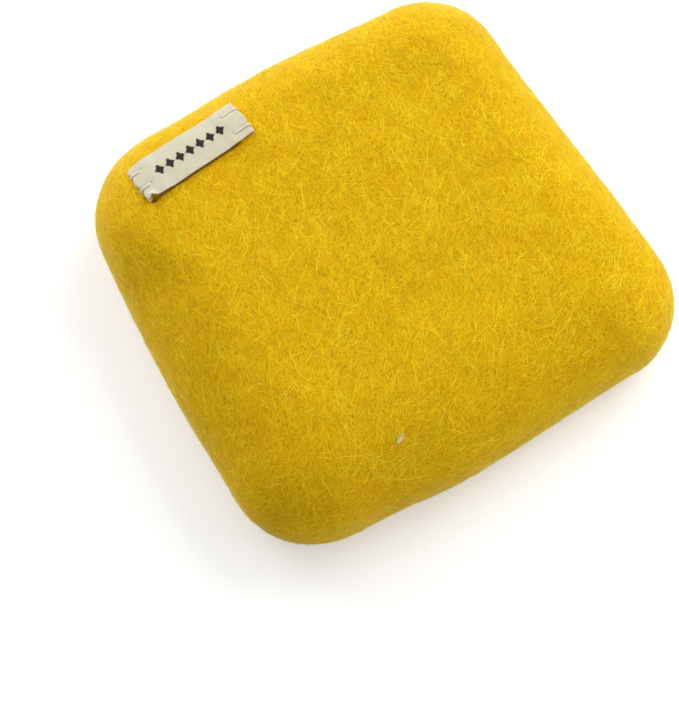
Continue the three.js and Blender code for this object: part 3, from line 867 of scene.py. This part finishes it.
# %% Pull out the wisp
WISP_AT = np.array([-34.0, -84.7, 44.8]) * MM
WISP_RUN = np.array([0.85, 0.44, 0.29])
WISP_HAIRS, WISP_FAN, WISP_CURL, WISP_WANDER = 34, 0.07, 0.04, 0.06
WISP_START_MM, WISP_START_SPREAD_MM, WISP_ASIDE_MM = -1.9, 0.6, 0.48
WISP_LENGTH_MM, WISP_WIDE_MM, WISP_LIFT_MM = (2.4, 5.0), (0.06, 0.10), (0.2, 0.7)
_, wisp_out = onto_felt(WISP_AT[None])
wisp_side = np.cross(wisp_out[0], WISP_RUN)
headings = WISP_RUN + wisp_side * dice.normal(0, WISP_FAN, (WISP_HAIRS, 1))
starts = WISP_AT + WISP_RUN * dice.normal(WISP_START_MM, WISP_START_SPREAD_MM, (WISP_HAIRS, 1)) * MM
starts = starts + wisp_side * dice.normal(0, WISP_ASIDE_MM, (WISP_HAIRS, 1)) * MM
lengths = dice.uniform(*WISP_LENGTH_MM, WISP_HAIRS) * MM
path, outs = walk(starts, headings, lengths, dice.normal(0, WISP_CURL, WISP_HAIRS), WISP_WANDER)
wide = dice.uniform(*WISP_WIDE_MM, WISP_HAIRS) * MM
lift = dice.uniform(*WISP_LIFT_MM, WISP_HAIRS) * MM
rows = dice.integers(0, UV_ROWS, WISP_HAIRS)
wisp = strand_mesh("undyed_wisp", path, outs, wide, lift, rows, flatness=0.7)
wisp_shades = ((1.0, 0.74, 0.26), (1.0, 0.82, 0.35), (1.0, 0.88, 0.45))
wisp.data.materials.append(strand_finish("undyed_wool_hair", *wisp_shades, sheen=0.4))
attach(wisp, "root")
print("wisp of", WISP_HAIRS, "hairs at", in_mm(WISP_AT), "mm")

# %% [markdown]
# ## The label
# The label is a short length of woven cotton tape. Both ends are folded under, so that they can't
# fray, and one thread at each end is sewn over the fold twice. Because the hems are double, the tape
# stands off the felt and sags a little between them, and each stitch pulls a dent into it. The
# long edge nearer the middle of the mat stands a little off the felt, and the left fold gapes there.
# By hand, tape is a grid of small squares: the end edge is spun half a turn for the fold and extruded
# back under for the hem. The flat tape is then laid on the felt, point by point.

# %% Fold the tape flat
TAPE_THICKNESS = 0.6 * MM
HEM_HEIGHT, FACE_HEIGHT = 0.6 * MM, 1.6 * MM
FOLD_ROUND = (FACE_HEIGHT - HEM_HEIGHT) / 2
FOLD_START = LABEL_LENGTH / 2 - FOLD_ROUND - TAPE_THICKNESS / 2
HEM_LENGTH = 8 * MM
CELL = 0.25 * MM
HAIRBREADTH = MM / 100
deselect_all()
face_cells, width_cells = round(2 * FOLD_START / CELL), round(LABEL_WIDTH / CELL)
bpy.ops.mesh.primitive_grid_add(x_subdivisions=face_cells, y_subdivisions=width_cells, size=1,
                                location=(0, 0, FACE_HEIGHT))
label = bpy.context.object
label.name = label.data.name = "label"
label.scale = (2 * FOLD_START, LABEL_WIDTH, 1)
bpy.ops.object.transform_apply(location=True, rotation=True, scale=True)
bpy.ops.object.mode_set(mode="EDIT")
for end in (-1, 1):
    pick(label, "EDGE", lambda ends: all(end * v.x > FOLD_START - CELL / 4 and v.z > FACE_HEIGHT - CELL / 2
                                         for v in ends))
    bpy.ops.mesh.spin(steps=6, angle=-end * math.pi, axis=(0, 1, 0),
                      center=(end * FOLD_START, 0, FACE_HEIGHT - FOLD_ROUND))
    for _ in range(round(HEM_LENGTH / CELL)):
        bpy.ops.mesh.extrude_region_move(TRANSFORM_OT_translate={"value": (-end * CELL, 0, 0)})
bpy.ops.mesh.select_all(action="SELECT")
bpy.ops.mesh.remove_doubles(threshold=HAIRBREADTH)
bpy.ops.object.mode_set(mode="OBJECT")
flat_points = points_of(label)
print("tape of", len(label.data.polygons), "cells,", in_mm(np.ptp(flat_points, axis=0), 2), "mm")

# %% How far along the tape
def along_tape(points):
    """How far along the unfolded tape each point of the folded tape is."""
    side = np.where(points[:, 0] < 0, -1, 1)
    x, up = np.abs(points[:, 0]), points[:, 2] - (FACE_HEIGHT - FOLD_ROUND)
    fold = FOLD_START + FOLD_ROUND * np.arctan2(np.maximum(x - FOLD_START, 0), up)
    hem = FOLD_START + math.pi * FOLD_ROUND + FOLD_START - x
    return side * np.where(x > FOLD_START + HAIRBREADTH, fold, np.where(up > 0, x, hem))


tape_along = along_tape(flat_points)
FLAT_LENGTH = float(np.ptp(tape_along))
u, v, h = flat_points.T.copy()
shaped_u, shaped_v, shaped_h = u.copy(), v.copy(), h.copy()
face_share = np.clip((h - HEM_HEIGHT) / (FACE_HEIGHT - HEM_HEIGHT), 0, 1)
print("unfolded, the tape is", in_mm([FLAT_LENGTH])[0], "mm long")

# %% Stitches pull the tape, and it sags between the hems
STITCH_ROWS = {-1: (5.5 * MM, -3.2 * MM), 1: (5.0 * MM, -5.5 * MM)}
STITCH_REACH = {-1: 4.7 * MM, 1: 7.5 * MM}
STITCH_DENT, DENT_WIDTH, DENT_EASE = 0.45 * MM, 0.9 * MM, 1.5 * MM
END_BULGE, BULGE_WIDTH = 0.45 * MM, 2.4 * MM
END_PULL, PULL_WIDTH, PULLED_FROM = 0.75 * MM, 1.5 * MM, (13 * MM, 26 * MM)
SAG, SAG_ENDS = 0.6 * MM, (13 * MM, 18.5 * MM)
shaped_h -= face_share * SAG * (1 - ease(*SAG_ENDS, np.abs(u)))
for end in (-1, 1):
    rows, stitched = STITCH_ROWS[end], LABEL_LENGTH / 2 - STITCH_REACH[end]
    bulge = END_BULGE * hump(v, sum(rows) / 2, BULGE_WIDTH)
    pull = END_PULL * sum(hump(v, row, PULL_WIDTH) for row in rows)
    shaped_u += end * (bulge - pull) * ease(*PULLED_FROM, end * u)
    for row in rows:
        held = ease(stitched - DENT_EASE, stitched, end * u)
        shaped_h -= face_share * STITCH_DENT * held * hump(v, row, DENT_WIDTH)
print("stitches dent the tape by up to", in_mm([(h - shaped_h).max() - SAG], 2)[0], "mm beside the sag")

# %% The lower edge lifts, and the left fold gapes
HALF_WIDTH = LABEL_WIDTH / 2
SKEW, SKEW_FROM, SKEW_TO = 0.10, (-27.5 * MM, -18.6 * MM), (-18 * MM, 15 * MM)
EDGE_OUT, EDGE_OUT_FROM, EDGE_OUT_ENDS = 0.6 * MM, 2 * MM, (17 * MM, 25 * MM)
HEM_IN, HEM_IN_FROM, HEM_IN_EASE = {-1: 2.6 * MM, 1: 1.4 * MM}, 3 * MM, 2.5 * MM
NOTCH, NOTCH_FROM, NOTCH_AT, NOTCH_WIDTH = 1.1 * MM, 6.5 * MM, -23.7 * MM, 1.1 * MM
EDGE_LIFT, EDGE_LIFT_FROM, EDGE_LIFT_ENDS = 0.3 * MM, 4 * MM, (16 * MM, 23 * MM)
GAPE, GAPE_FROM, GAPE_AT, GAPE_WIDTH = 1.4 * MM, 5 * MM, -24.2 * MM, 2.2 * MM


def to_lower_edge(start):
    """0 up to a line across the tape, rising to 1 at its lower edge."""
    return ease(start, HALF_WIDTH, -v)


def between_ends(ends):
    """1 in the tape's middle, falling to 0 towards both ends."""
    return 1 - ease(*ends, np.abs(u))


shaped_v *= 1 + SKEW * np.minimum(1 - ease(*SKEW_TO, u), ease(*SKEW_FROM, u)) * (v > 0)
shaped_v -= EDGE_OUT * face_share * to_lower_edge(EDGE_OUT_FROM) * between_ends(EDGE_OUT_ENDS)
hem_in = np.where(u < 0, HEM_IN[-1], HEM_IN[1])
hem_reached = ease(0, HEM_IN_EASE, np.abs(tape_along) - FOLD_START - math.pi * FOLD_ROUND)
shaped_v += hem_in * hem_reached * to_lower_edge(HEM_IN_FROM)
shaped_v += NOTCH * face_share * to_lower_edge(NOTCH_FROM) * hump(u, NOTCH_AT, NOTCH_WIDTH)
shaped_h += EDGE_LIFT * face_share * to_lower_edge(EDGE_LIFT_FROM) * between_ends(EDGE_LIFT_ENDS)
shaped_h += GAPE * face_share * to_lower_edge(GAPE_FROM) * hump(u, GAPE_AT, GAPE_WIDTH)
print("the lower edge lifts by", EDGE_LIFT / MM, "mm, and the fold gapes by", GAPE / MM, "mm")

# %% Slow puckers and the weave
PUCKER, PUCKER_ALONG, PUCKER_ACROSS, PUCKER_SHIFT = 0.10 * MM, 2.9 * MM, 3.7 * MM, 0.8
WEAVE_PITCH, WEAVE_HEIGHT = 0.5 * MM, 0.05 * MM
puckers = np.sin(u / PUCKER_ALONG) * np.sin(v / PUCKER_ACROSS + PUCKER_SHIFT)
shaped_h += face_share * PUCKER * puckers
shaped_h += WEAVE_HEIGHT * np.sin(math.pi * tape_along / WEAVE_PITCH) * np.sin(math.pi * v / WEAVE_PITCH)
print("the weave has a thread every", WEAVE_PITCH / MM, "mm")

# %% Lay the tape on the felt
PATCH_STEP_MM, PATCH_REACH_MM = 2, (36, 18)
PATCH_ABOVE = 20 * MM
LAST_CELL = 1.001
patch_u, patch_v = (np.arange(-reach, reach + 1, PATCH_STEP_MM) * MM for reach in PATCH_REACH_MM)
patch = np.empty((len(patch_u), len(patch_v), 3))
for i, along in enumerate(patch_u):
    for j, across in enumerate(patch_v):
        above = label_middle + label_along * along + label_across * across + label_out * PATCH_ABOVE
        patch[i, j] = label_tree.ray_cast(Vector(above), Vector(-label_out))[0]
patch_out = unit(np.cross(np.gradient(patch, axis=0), np.gradient(patch, axis=1)))


def lay(u, v, h):
    """Points at (u, v) of the label's frame and h out of the felt."""
    i = np.clip((u - patch_u[0]) / (PATCH_STEP_MM * MM), 0, len(patch_u) - LAST_CELL)
    j = np.clip((v - patch_v[0]) / (PATCH_STEP_MM * MM), 0, len(patch_v) - LAST_CELL)
    a, b = i.astype(int), j.astype(int)
    s, t = (i - a)[:, None], (j - b)[:, None]

    def between(grid):
        """What a grid holds between its four nearest points."""
        near = grid[a, b] * (1 - s) + grid[a + 1, b] * s
        far = grid[a, b + 1] * (1 - s) + grid[a + 1, b + 1] * s
        return near * (1 - t) + far * t

    return between(patch) + between(patch_out) * np.asarray(h)[:, None]


move_points(label, lay(shaped_u, shaped_v, shaped_h))
print("label laid on a patch of", patch.shape[0], "by", patch.shape[1], "points of felt")

# %% Turn the tape's faces outward
make_active(label)
bpy.ops.object.mode_set(mode="EDIT")
bpy.ops.mesh.select_all(action="SELECT")
bpy.ops.mesh.normals_make_consistent(inside=False)
bpy.ops.object.mode_set(mode="OBJECT")
face_middle = Vector(lay(np.zeros(1), np.zeros(1), np.array([FACE_HEIGHT]))[0])
middle_face = min(label.data.polygons, key=lambda face: (face.center - face_middle).length)
faced_in = middle_face.normal @ Vector(label_out) < 0
if faced_in:
    bpy.ops.object.mode_set(mode="EDIT")
    bpy.ops.mesh.flip_normals()
    bpy.ops.object.mode_set(mode="OBJECT")
print("the label's faces", "were turned round" if faced_in else "already looked out")

# %% Give the tape its map and thickness
MAP_EDGE = 0.001
loop_verts = np.empty(len(label.data.loops), np.int32)
label.data.loops.foreach_get("vertex_index", loop_verts)
tape_uv = np.stack([tape_along / FLAT_LENGTH + 0.5, v / LABEL_WIDTH + 0.5], 1)[loop_verts]
tape_uv = np.clip(tape_uv, MAP_EDGE, 1 - MAP_EDGE)
for layer_name in [layer.name for layer in label.data.uv_layers]:
    label.data.uv_layers.remove(label.data.uv_layers[layer_name])
label.data.uv_layers.new(name="OFBake").data.foreach_set("uv", tape_uv.ravel())
wall = label.modifiers.new("tape_thickness", "SOLIDIFY")
wall.thickness, wall.offset = TAPE_THICKNESS, 0.0
apply_modifier(label, "tape_thickness")
bpy.ops.object.shade_smooth_by_angle(angle=math.radians(50))
print("label has", len(label.data.polygons), "faces")

# %% [markdown]
# ## Woven cotton
# The tape's map runs along and across the threads, so its pattern follows the cloth round the folds.
# Rows of threads are a little darker and paler by turns, and slow slubs run along them. Down the
# middle goes a plain row of woven diamonds, in dark yarn, stepped by the threads as real weaving is.

# %% The label's cloth
COTTON_PALE, COTTON_DARK = (0.665, 0.615, 0.465, 1), (0.60, 0.555, 0.41, 1)
SLUB_SHADES = ((0.3, (0.86, 0.85, 0.82)), (0.6, UNTINTED))
SLUBS_PER_MM = (0.25, 2.2, 0)
THREADS_PER_MM = MM / WEAVE_PITCH
cotton, tree, shader = blank_material("woven_cotton")


def vector_maths(operation, first, second):
    """One step of arithmetic on places."""
    return add_node(tree, "ShaderNodeVectorMath", {"operation": operation}, i0=first, i1=second).outputs[0]


tape_map = add_node(tree, "ShaderNodeUVMap", {"uv_map": "OFBake"}).outputs[0]
centred = vector_maths("SUBTRACT", tape_map, (0.5, 0.5, 0))
tape_place = vector_maths("MULTIPLY", centred, (FLAT_LENGTH / MM, LABEL_WIDTH / MM, 0))
threads = vector_maths("MULTIPLY", tape_place, (THREADS_PER_MM, THREADS_PER_MM, 0))
checks = add_node(tree, "ShaderNodeTexChecker", Vector=threads, Scale=1.0,
                  Color1=COTTON_PALE, Color2=COTTON_DARK)
slubs = noise(tree, vector_maths("MULTIPLY", tape_place, SLUBS_PER_MM), Detail=3.0)
cloth = multiplied(tree, checks.outputs["Color"], colour_steps(tree, slubs, SLUB_SHADES))
print("cloth of", round(FLAT_LENGTH / WEAVE_PITCH), "by", round(LABEL_WIDTH / WEAVE_PITCH), "threads")

# %% Woven diamonds
DIAMOND_PITCH, DIAMOND_LONG, DIAMOND_WIDE, DIAMOND_EDGE = 5.0, 2.0, 2.6, 1.05
DIAMOND_ROW = 17.4
DARK_YARN = (0.022, 0.019, 0.016, 1)
weave_step = WEAVE_PITCH / MM
half_step = vector_maths("ADD", tape_place, (weave_step / 2, weave_step / 2, 0))
stepped = vector_maths("SNAP", half_step, (weave_step, weave_step, 1))
step_along, step_across, _ = add_node(tree, "ShaderNodeSeparateXYZ", Vector=stepped).outputs
in_pitch = maths(tree, "FLOORED_MODULO", maths(tree, "ADD", step_along, DIAMOND_PITCH / 2), DIAMOND_PITCH)
from_middle = maths(tree, "ABSOLUTE", maths(tree, "SUBTRACT", in_pitch, DIAMOND_PITCH / 2))
long_share = maths(tree, "DIVIDE", from_middle, DIAMOND_LONG)
wide_share = maths(tree, "DIVIDE", maths(tree, "ABSOLUTE", step_across), DIAMOND_WIDE)
in_diamond = maths(tree, "LESS_THAN", maths(tree, "ADD", long_share, wide_share), DIAMOND_EDGE)
in_row = maths(tree, "LESS_THAN", maths(tree, "ABSOLUTE", step_along), DIAMOND_ROW)
dark = maths(tree, "MULTIPLY", in_diamond, in_row)
with_yarn = add_node(tree, "ShaderNodeMix", {"data_type": "RGBA"}, i0=dark, i6=cloth, i7=DARK_YARN)
tree.links.new(with_yarn.outputs[2], shader.inputs["Base Color"])
add_bump(tree, shader, slubs, strength=0.35, distance=0.1 * MM)
set_shader(shader, Roughness=0.9, Specular_IOR_Level=0.15, Sheen_Weight=0.08)
label.data.materials.clear()
label.data.materials.append(cotton)
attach(label, "root")
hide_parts("label_tape")
print("label finish has", len(tree.nodes), "nodes")

# %% [markdown]
# ## The label's threads
# One cream thread at each end comes up through felt and tape, goes over the fold, runs under the felt
# to the other row, and comes back over the fold. Sewing thread is two plies twisted together. Each
# ply is a curve with a round bevel that winds round the thread's route, made a mesh and joined.

# %% The thread's finish and its route
PLY_ROUND, PLY_OFFSET, TWIST = 0.24 * MM, 0.2 * MM, 2.4 * MM
THREAD_BEYOND = 0.15 * MM
FIRST_PLY_LEAN = 0.3
END_DEPTH, RUN_DEPTH = -2.5 * MM, -1.8 * MM
ROUTE_STEP, ROUTE_SOFTENINGS = 0.2 * MM, 8
YARN_SHADES, YARN_SCALE = ((0.3, (0.78, 0.73, 0.57)), (0.7, (0.93, 0.89, 0.75))), 1800.0
cream, tree, shader = blank_material("cream_thread")
yarn = noise(tree, object_place(tree), YARN_SCALE, Detail=2.0)
tree.links.new(colour_steps(tree, yarn, YARN_SHADES), shader.inputs["Base Color"])
set_shader(shader, Roughness=0.7, Sheen_Weight=0.1)


def run_lengths(line):
    """How far along a line each of its points is."""
    return np.concatenate([[0], np.cumsum(np.linalg.norm(np.diff(line, axis=0), axis=1))])


def thread_route(end):
    """The thread's line in the label's frame, with its bends eased, as points on the felt."""
    through = end * (LABEL_LENGTH / 2 - STITCH_REACH[end])
    beyond = end * (LABEL_LENGTH / 2 + THREAD_BEYOND)
    over = FACE_HEIGHT + TAPE_THICKNESS / 2 - STITCH_DENT + PLY_ROUND + PLY_OFFSET
    high, low = STITCH_ROWS[end]
    corners = np.array([(through, high, END_DEPTH), (through, high, over),
                        (beyond, high, over), (beyond, high, RUN_DEPTH),
                        (beyond, low, RUN_DEPTH), (beyond, low, over),
                        (through, low, over), (through, low, END_DEPTH)])
    far = run_lengths(corners)
    even = np.linspace(0, far[-1], round(far[-1] / ROUTE_STEP))
    line = np.stack([np.interp(even, far, corners[:, k]) for k in range(3)], 1)
    for _ in range(ROUTE_SOFTENINGS):
        line[1:-1] = (line[:-2] + line[1:-1] + line[2:]) / 3
    return lay(line[:, 0], line[:, 1], line[:, 2])


print("thread", 2 * (PLY_ROUND + PLY_OFFSET) / MM, "mm thick, with a twist every", TWIST / MM, "mm")

# %% Sew the threads
def ply_mesh(name, line):
    """A round strand along a line, drawn as a beveled curve and made a mesh."""
    curve = bpy.data.curves.new(name, "CURVE")
    curve.dimensions, curve.use_fill_caps = "3D", True
    curve.bevel_depth, curve.bevel_resolution = PLY_ROUND, 2
    spline = curve.splines.new("POLY")
    spline.points.add(len(line) - 1)
    spline.points.foreach_set("co", np.concatenate([line, np.ones((len(line), 1))], 1).ravel())
    piece = bpy.data.objects.new(name, curve)
    scene.collection.objects.link(piece)
    make_active(piece)
    bpy.ops.object.convert(target="MESH")
    return bpy.context.object


def twisted_thread(name, route):
    """Two plies wound round a route and joined. Returns the thread and how long it is."""
    run = unit(np.gradient(route, axis=0))
    far = run_lengths(route)
    side = [unit(np.cross(run[0], label_along + FIRST_PLY_LEAN * label_out))]
    for direction in run[1:]:
        side.append(unit(side[-1] - direction * (side[-1] @ direction)))
    side = np.array(side)
    other = np.cross(run, side)
    plies = []
    for start in (0, math.pi):
        angle = (2 * math.pi * far / TWIST + start)[:, None]
        line = route + PLY_OFFSET * (side * np.cos(angle) + other * np.sin(angle))
        plies.append(ply_mesh(f"{name}_ply", line))
    make_active(plies[0])
    plies[1].select_set(True)
    bpy.ops.object.join()
    bpy.ops.object.shade_smooth()
    thread = bpy.context.object
    thread.name = thread.data.name = name
    thread.data.materials.clear()
    thread.data.materials.append(cream)
    return thread, float(far[-1])


for end, name in ((-1, "left"), (1, "right")):
    thread, long = twisted_thread(f"label_thread_sewn_{name}", thread_route(end))
    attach(thread, "root")
    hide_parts(f"label_thread_{name}")
    print(name, "thread:", in_mm([long])[0], "mm long,", len(thread.data.polygons), "faces")

# %% [markdown]
# ## The filling
# Five batts of carded white wool are stacked inside. Nobody sees them until the mat is cut open, but
# they are what it is made of. Each starts as a copy of its CAD solid, merged and remeshed, is drawn
# in where the felted skin is narrower than the plain solid, and then gets soft hollows.

# %% The batts' finish
WOOL_HAIR_WIDTH, WOOL_HAIR_LENGTH = 1.2 * MM, 16 * MM
WOOL_SHADES = ((0.40, (0.58, 0.53, 0.43)), (0.62, (0.78, 0.74, 0.64)))
undyed, tree, shader = blank_material("undyed_wool")
wool_hairs = hair_pattern(tree, object_place(tree), WOOL_HAIR_WIDTH, WOOL_HAIR_LENGTH)
tree.links.new(colour_steps(tree, wool_hairs, WOOL_SHADES), shader.inputs["Base Color"])
add_bump(tree, shader, wool_hairs, strength=0.5, distance=0.6 * MM)
set_shader(shader, Roughness=0.95, Sheen_Weight=0.2)
print("undyed wool finish has", len(tree.nodes), "nodes")

# %% Card the batts
BATT_CELL, BATT_CLEARANCE, DRAWN_IN_TIMES = 2.5 * MM, 0.8 * MM, 4
CARDING_WIDTH, CARDING_DEPTH = 14 * MM, 1.2 * MM
BATTS = 5


def side_inset(x, y, z):
    """How far the measured form's side stands in from its widest outline, at each point's height."""
    # The foot is a quarter circle, so height and inset can change places in its formula.
    foot = foot_height(z)
    rise = np.clip((z - FOOT_ROUND - WALL_HEIGHT) / SHOULDER_RISE, 0, 1)
    width, power = shoulder(x, y)
    return np.maximum(foot, width * (1 - (1 - rise ** 2) ** (1 / power)))


soft_clouds = bpy.data.textures.new("carding", "CLOUDS")
soft_clouds.noise_scale, soft_clouds.noise_depth = CARDING_WIDTH, 2
for number in range(1, BATTS + 1):
    node = f"core_batt_{number}"
    batt = bpy.data.objects.new(f"wool_batt_{number}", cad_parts[node].data.copy())
    scene.collection.objects.link(batt)
    make_active(batt)
    bpy.ops.object.mode_set(mode="EDIT")
    bpy.ops.mesh.select_all(action="SELECT")
    bpy.ops.mesh.remove_doubles(threshold=HAIRBREADTH)
    bpy.ops.object.mode_set(mode="OBJECT")
    batt.data.remesh_voxel_size = BATT_CELL
    bpy.ops.object.voxel_remesh()
    wool = points_of(batt)
    for _ in range(DRAWN_IN_TIMES):
        clear = side_inset(*wool.T) + COVER_THICKNESS + BATT_CLEARANCE
        over = np.maximum(outside_by(wool[:, 0], wool[:, 1], clear), 0)
        wool[:, :2] *= (1 - over / np.maximum(np.hypot(wool[:, 0], wool[:, 1]), MM))[:, None]
    move_points(batt, wool)
    carding = batt.modifiers.new("carding", "DISPLACE")
    carding.texture, carding.texture_coords = soft_clouds, "LOCAL"
    carding.strength, carding.mid_level = CARDING_DEPTH, 0.9
    apply_modifier(batt, "carding")
    bpy.ops.object.shade_smooth()
    batt.data.materials.clear()
    batt.data.materials.append(undyed)
    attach(batt, "root")
    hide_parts(node)
    print(batt.name, "has", len(batt.data.polygons), "faces")

# %% [markdown]
# ## The floor, the light and the view
# The photograph was taken in a white tent: a soft, wide light from behind and above, white all
# round, and a white ground. Three large area lamps, one at the right and two behind, and a white
# world do the same. Where they stand and how strong each is came from rendering the mat under one
# light at a time and fitting the sum to the photograph's shading. The floor glows a little, but only
# where the camera or a mirror sees it, so that it shows white and still keeps the mat's shadow.

# %% White paper floor
FLOOR_SIZE, FLOOR_DROP, FLOOR_GLOW = 2.4, 0.1 * MM, 0.3
PAPER, WHITE = (0.86, 0.86, 0.86, 1), (1, 1, 1, 1)


def seen_rays(tree):
    """1 for rays that look at something, straight, in a mirror or through glass, and 0 for light."""
    rays = add_node(tree, "ShaderNodeLightPath").outputs
    straight_or_mirror = maths(tree, "MAXIMUM", rays["Is Camera Ray"], rays["Is Glossy Ray"])
    return maths(tree, "MAXIMUM", straight_or_mirror, rays["Is Transmission Ray"])


deselect_all()
bpy.ops.mesh.primitive_plane_add(size=FLOOR_SIZE, location=(0, 0, -FLOOR_DROP))
floor = bpy.context.object
floor.name = "floor"
paper, tree, shader = blank_material("white_paper")
set_shader(shader, Base_Color=PAPER, Roughness=0.9, Specular_IOR_Level=0.0, Emission_Color=WHITE)
tree.links.new(maths(tree, "MULTIPLY", seen_rays(tree), FLOOR_GLOW), shader.inputs["Emission Strength"])
floor.data.materials.append(paper)
print("floor of", FLOOR_SIZE, "m,", FLOOR_DROP / MM, "mm under the mat")

# %% Three lamps
LAMPS = (("right_lamp", 90, 15, 5.1), ("right_back_lamp", 45, 38, 9.1), ("left_back_lamp", -45, 15, 12.6))
LAMP_SIZE, LAMP_DISTANCE = 0.8, 1.2
away = Vector((view_up.x, view_up.y, 0)).normalized()
aside = Vector((view_right.x, view_right.y, 0)).normalized()
for name, turn, elevation, watts in LAMPS:
    lamp_data = bpy.data.lights.new(name, "AREA")
    lamp_data.shape, lamp_data.size, lamp_data.energy = "SQUARE", LAMP_SIZE, watts
    lamp = bpy.data.objects.new(name, lamp_data)
    scene.collection.objects.link(lamp)
    turn, elevation = math.radians(turn), math.radians(elevation)
    level = (away * math.cos(turn) + aside * math.sin(turn)).normalized()
    lamp_from = level * math.cos(elevation) + Vector((0, 0, math.sin(elevation)))
    lamp.location = lamp_from * LAMP_DISTANCE
    lamp.rotation_euler = lamp_from.to_track_quat("Z", "Y").to_euler()
    print(name, "at", [round(c, 2) for c in lamp.location], "m")

# %% White world
TENT_LIGHT = 0.505
world = bpy.data.worlds.new("white_tent")
scene.world = world
world.use_nodes = True
tree = world.node_tree
tent = tree.nodes["Background"]
strength = add_node(tree, "ShaderNodeMapRange", Value=seen_rays(tree), To_Min=TENT_LIGHT, To_Max=1.0)
tent.inputs["Color"].default_value = WHITE
tree.links.new(strength.outputs[0], tent.inputs["Strength"])
scene.view_settings.view_transform = "Standard"
print("the tent gives", TENT_LIGHT, "of white light")
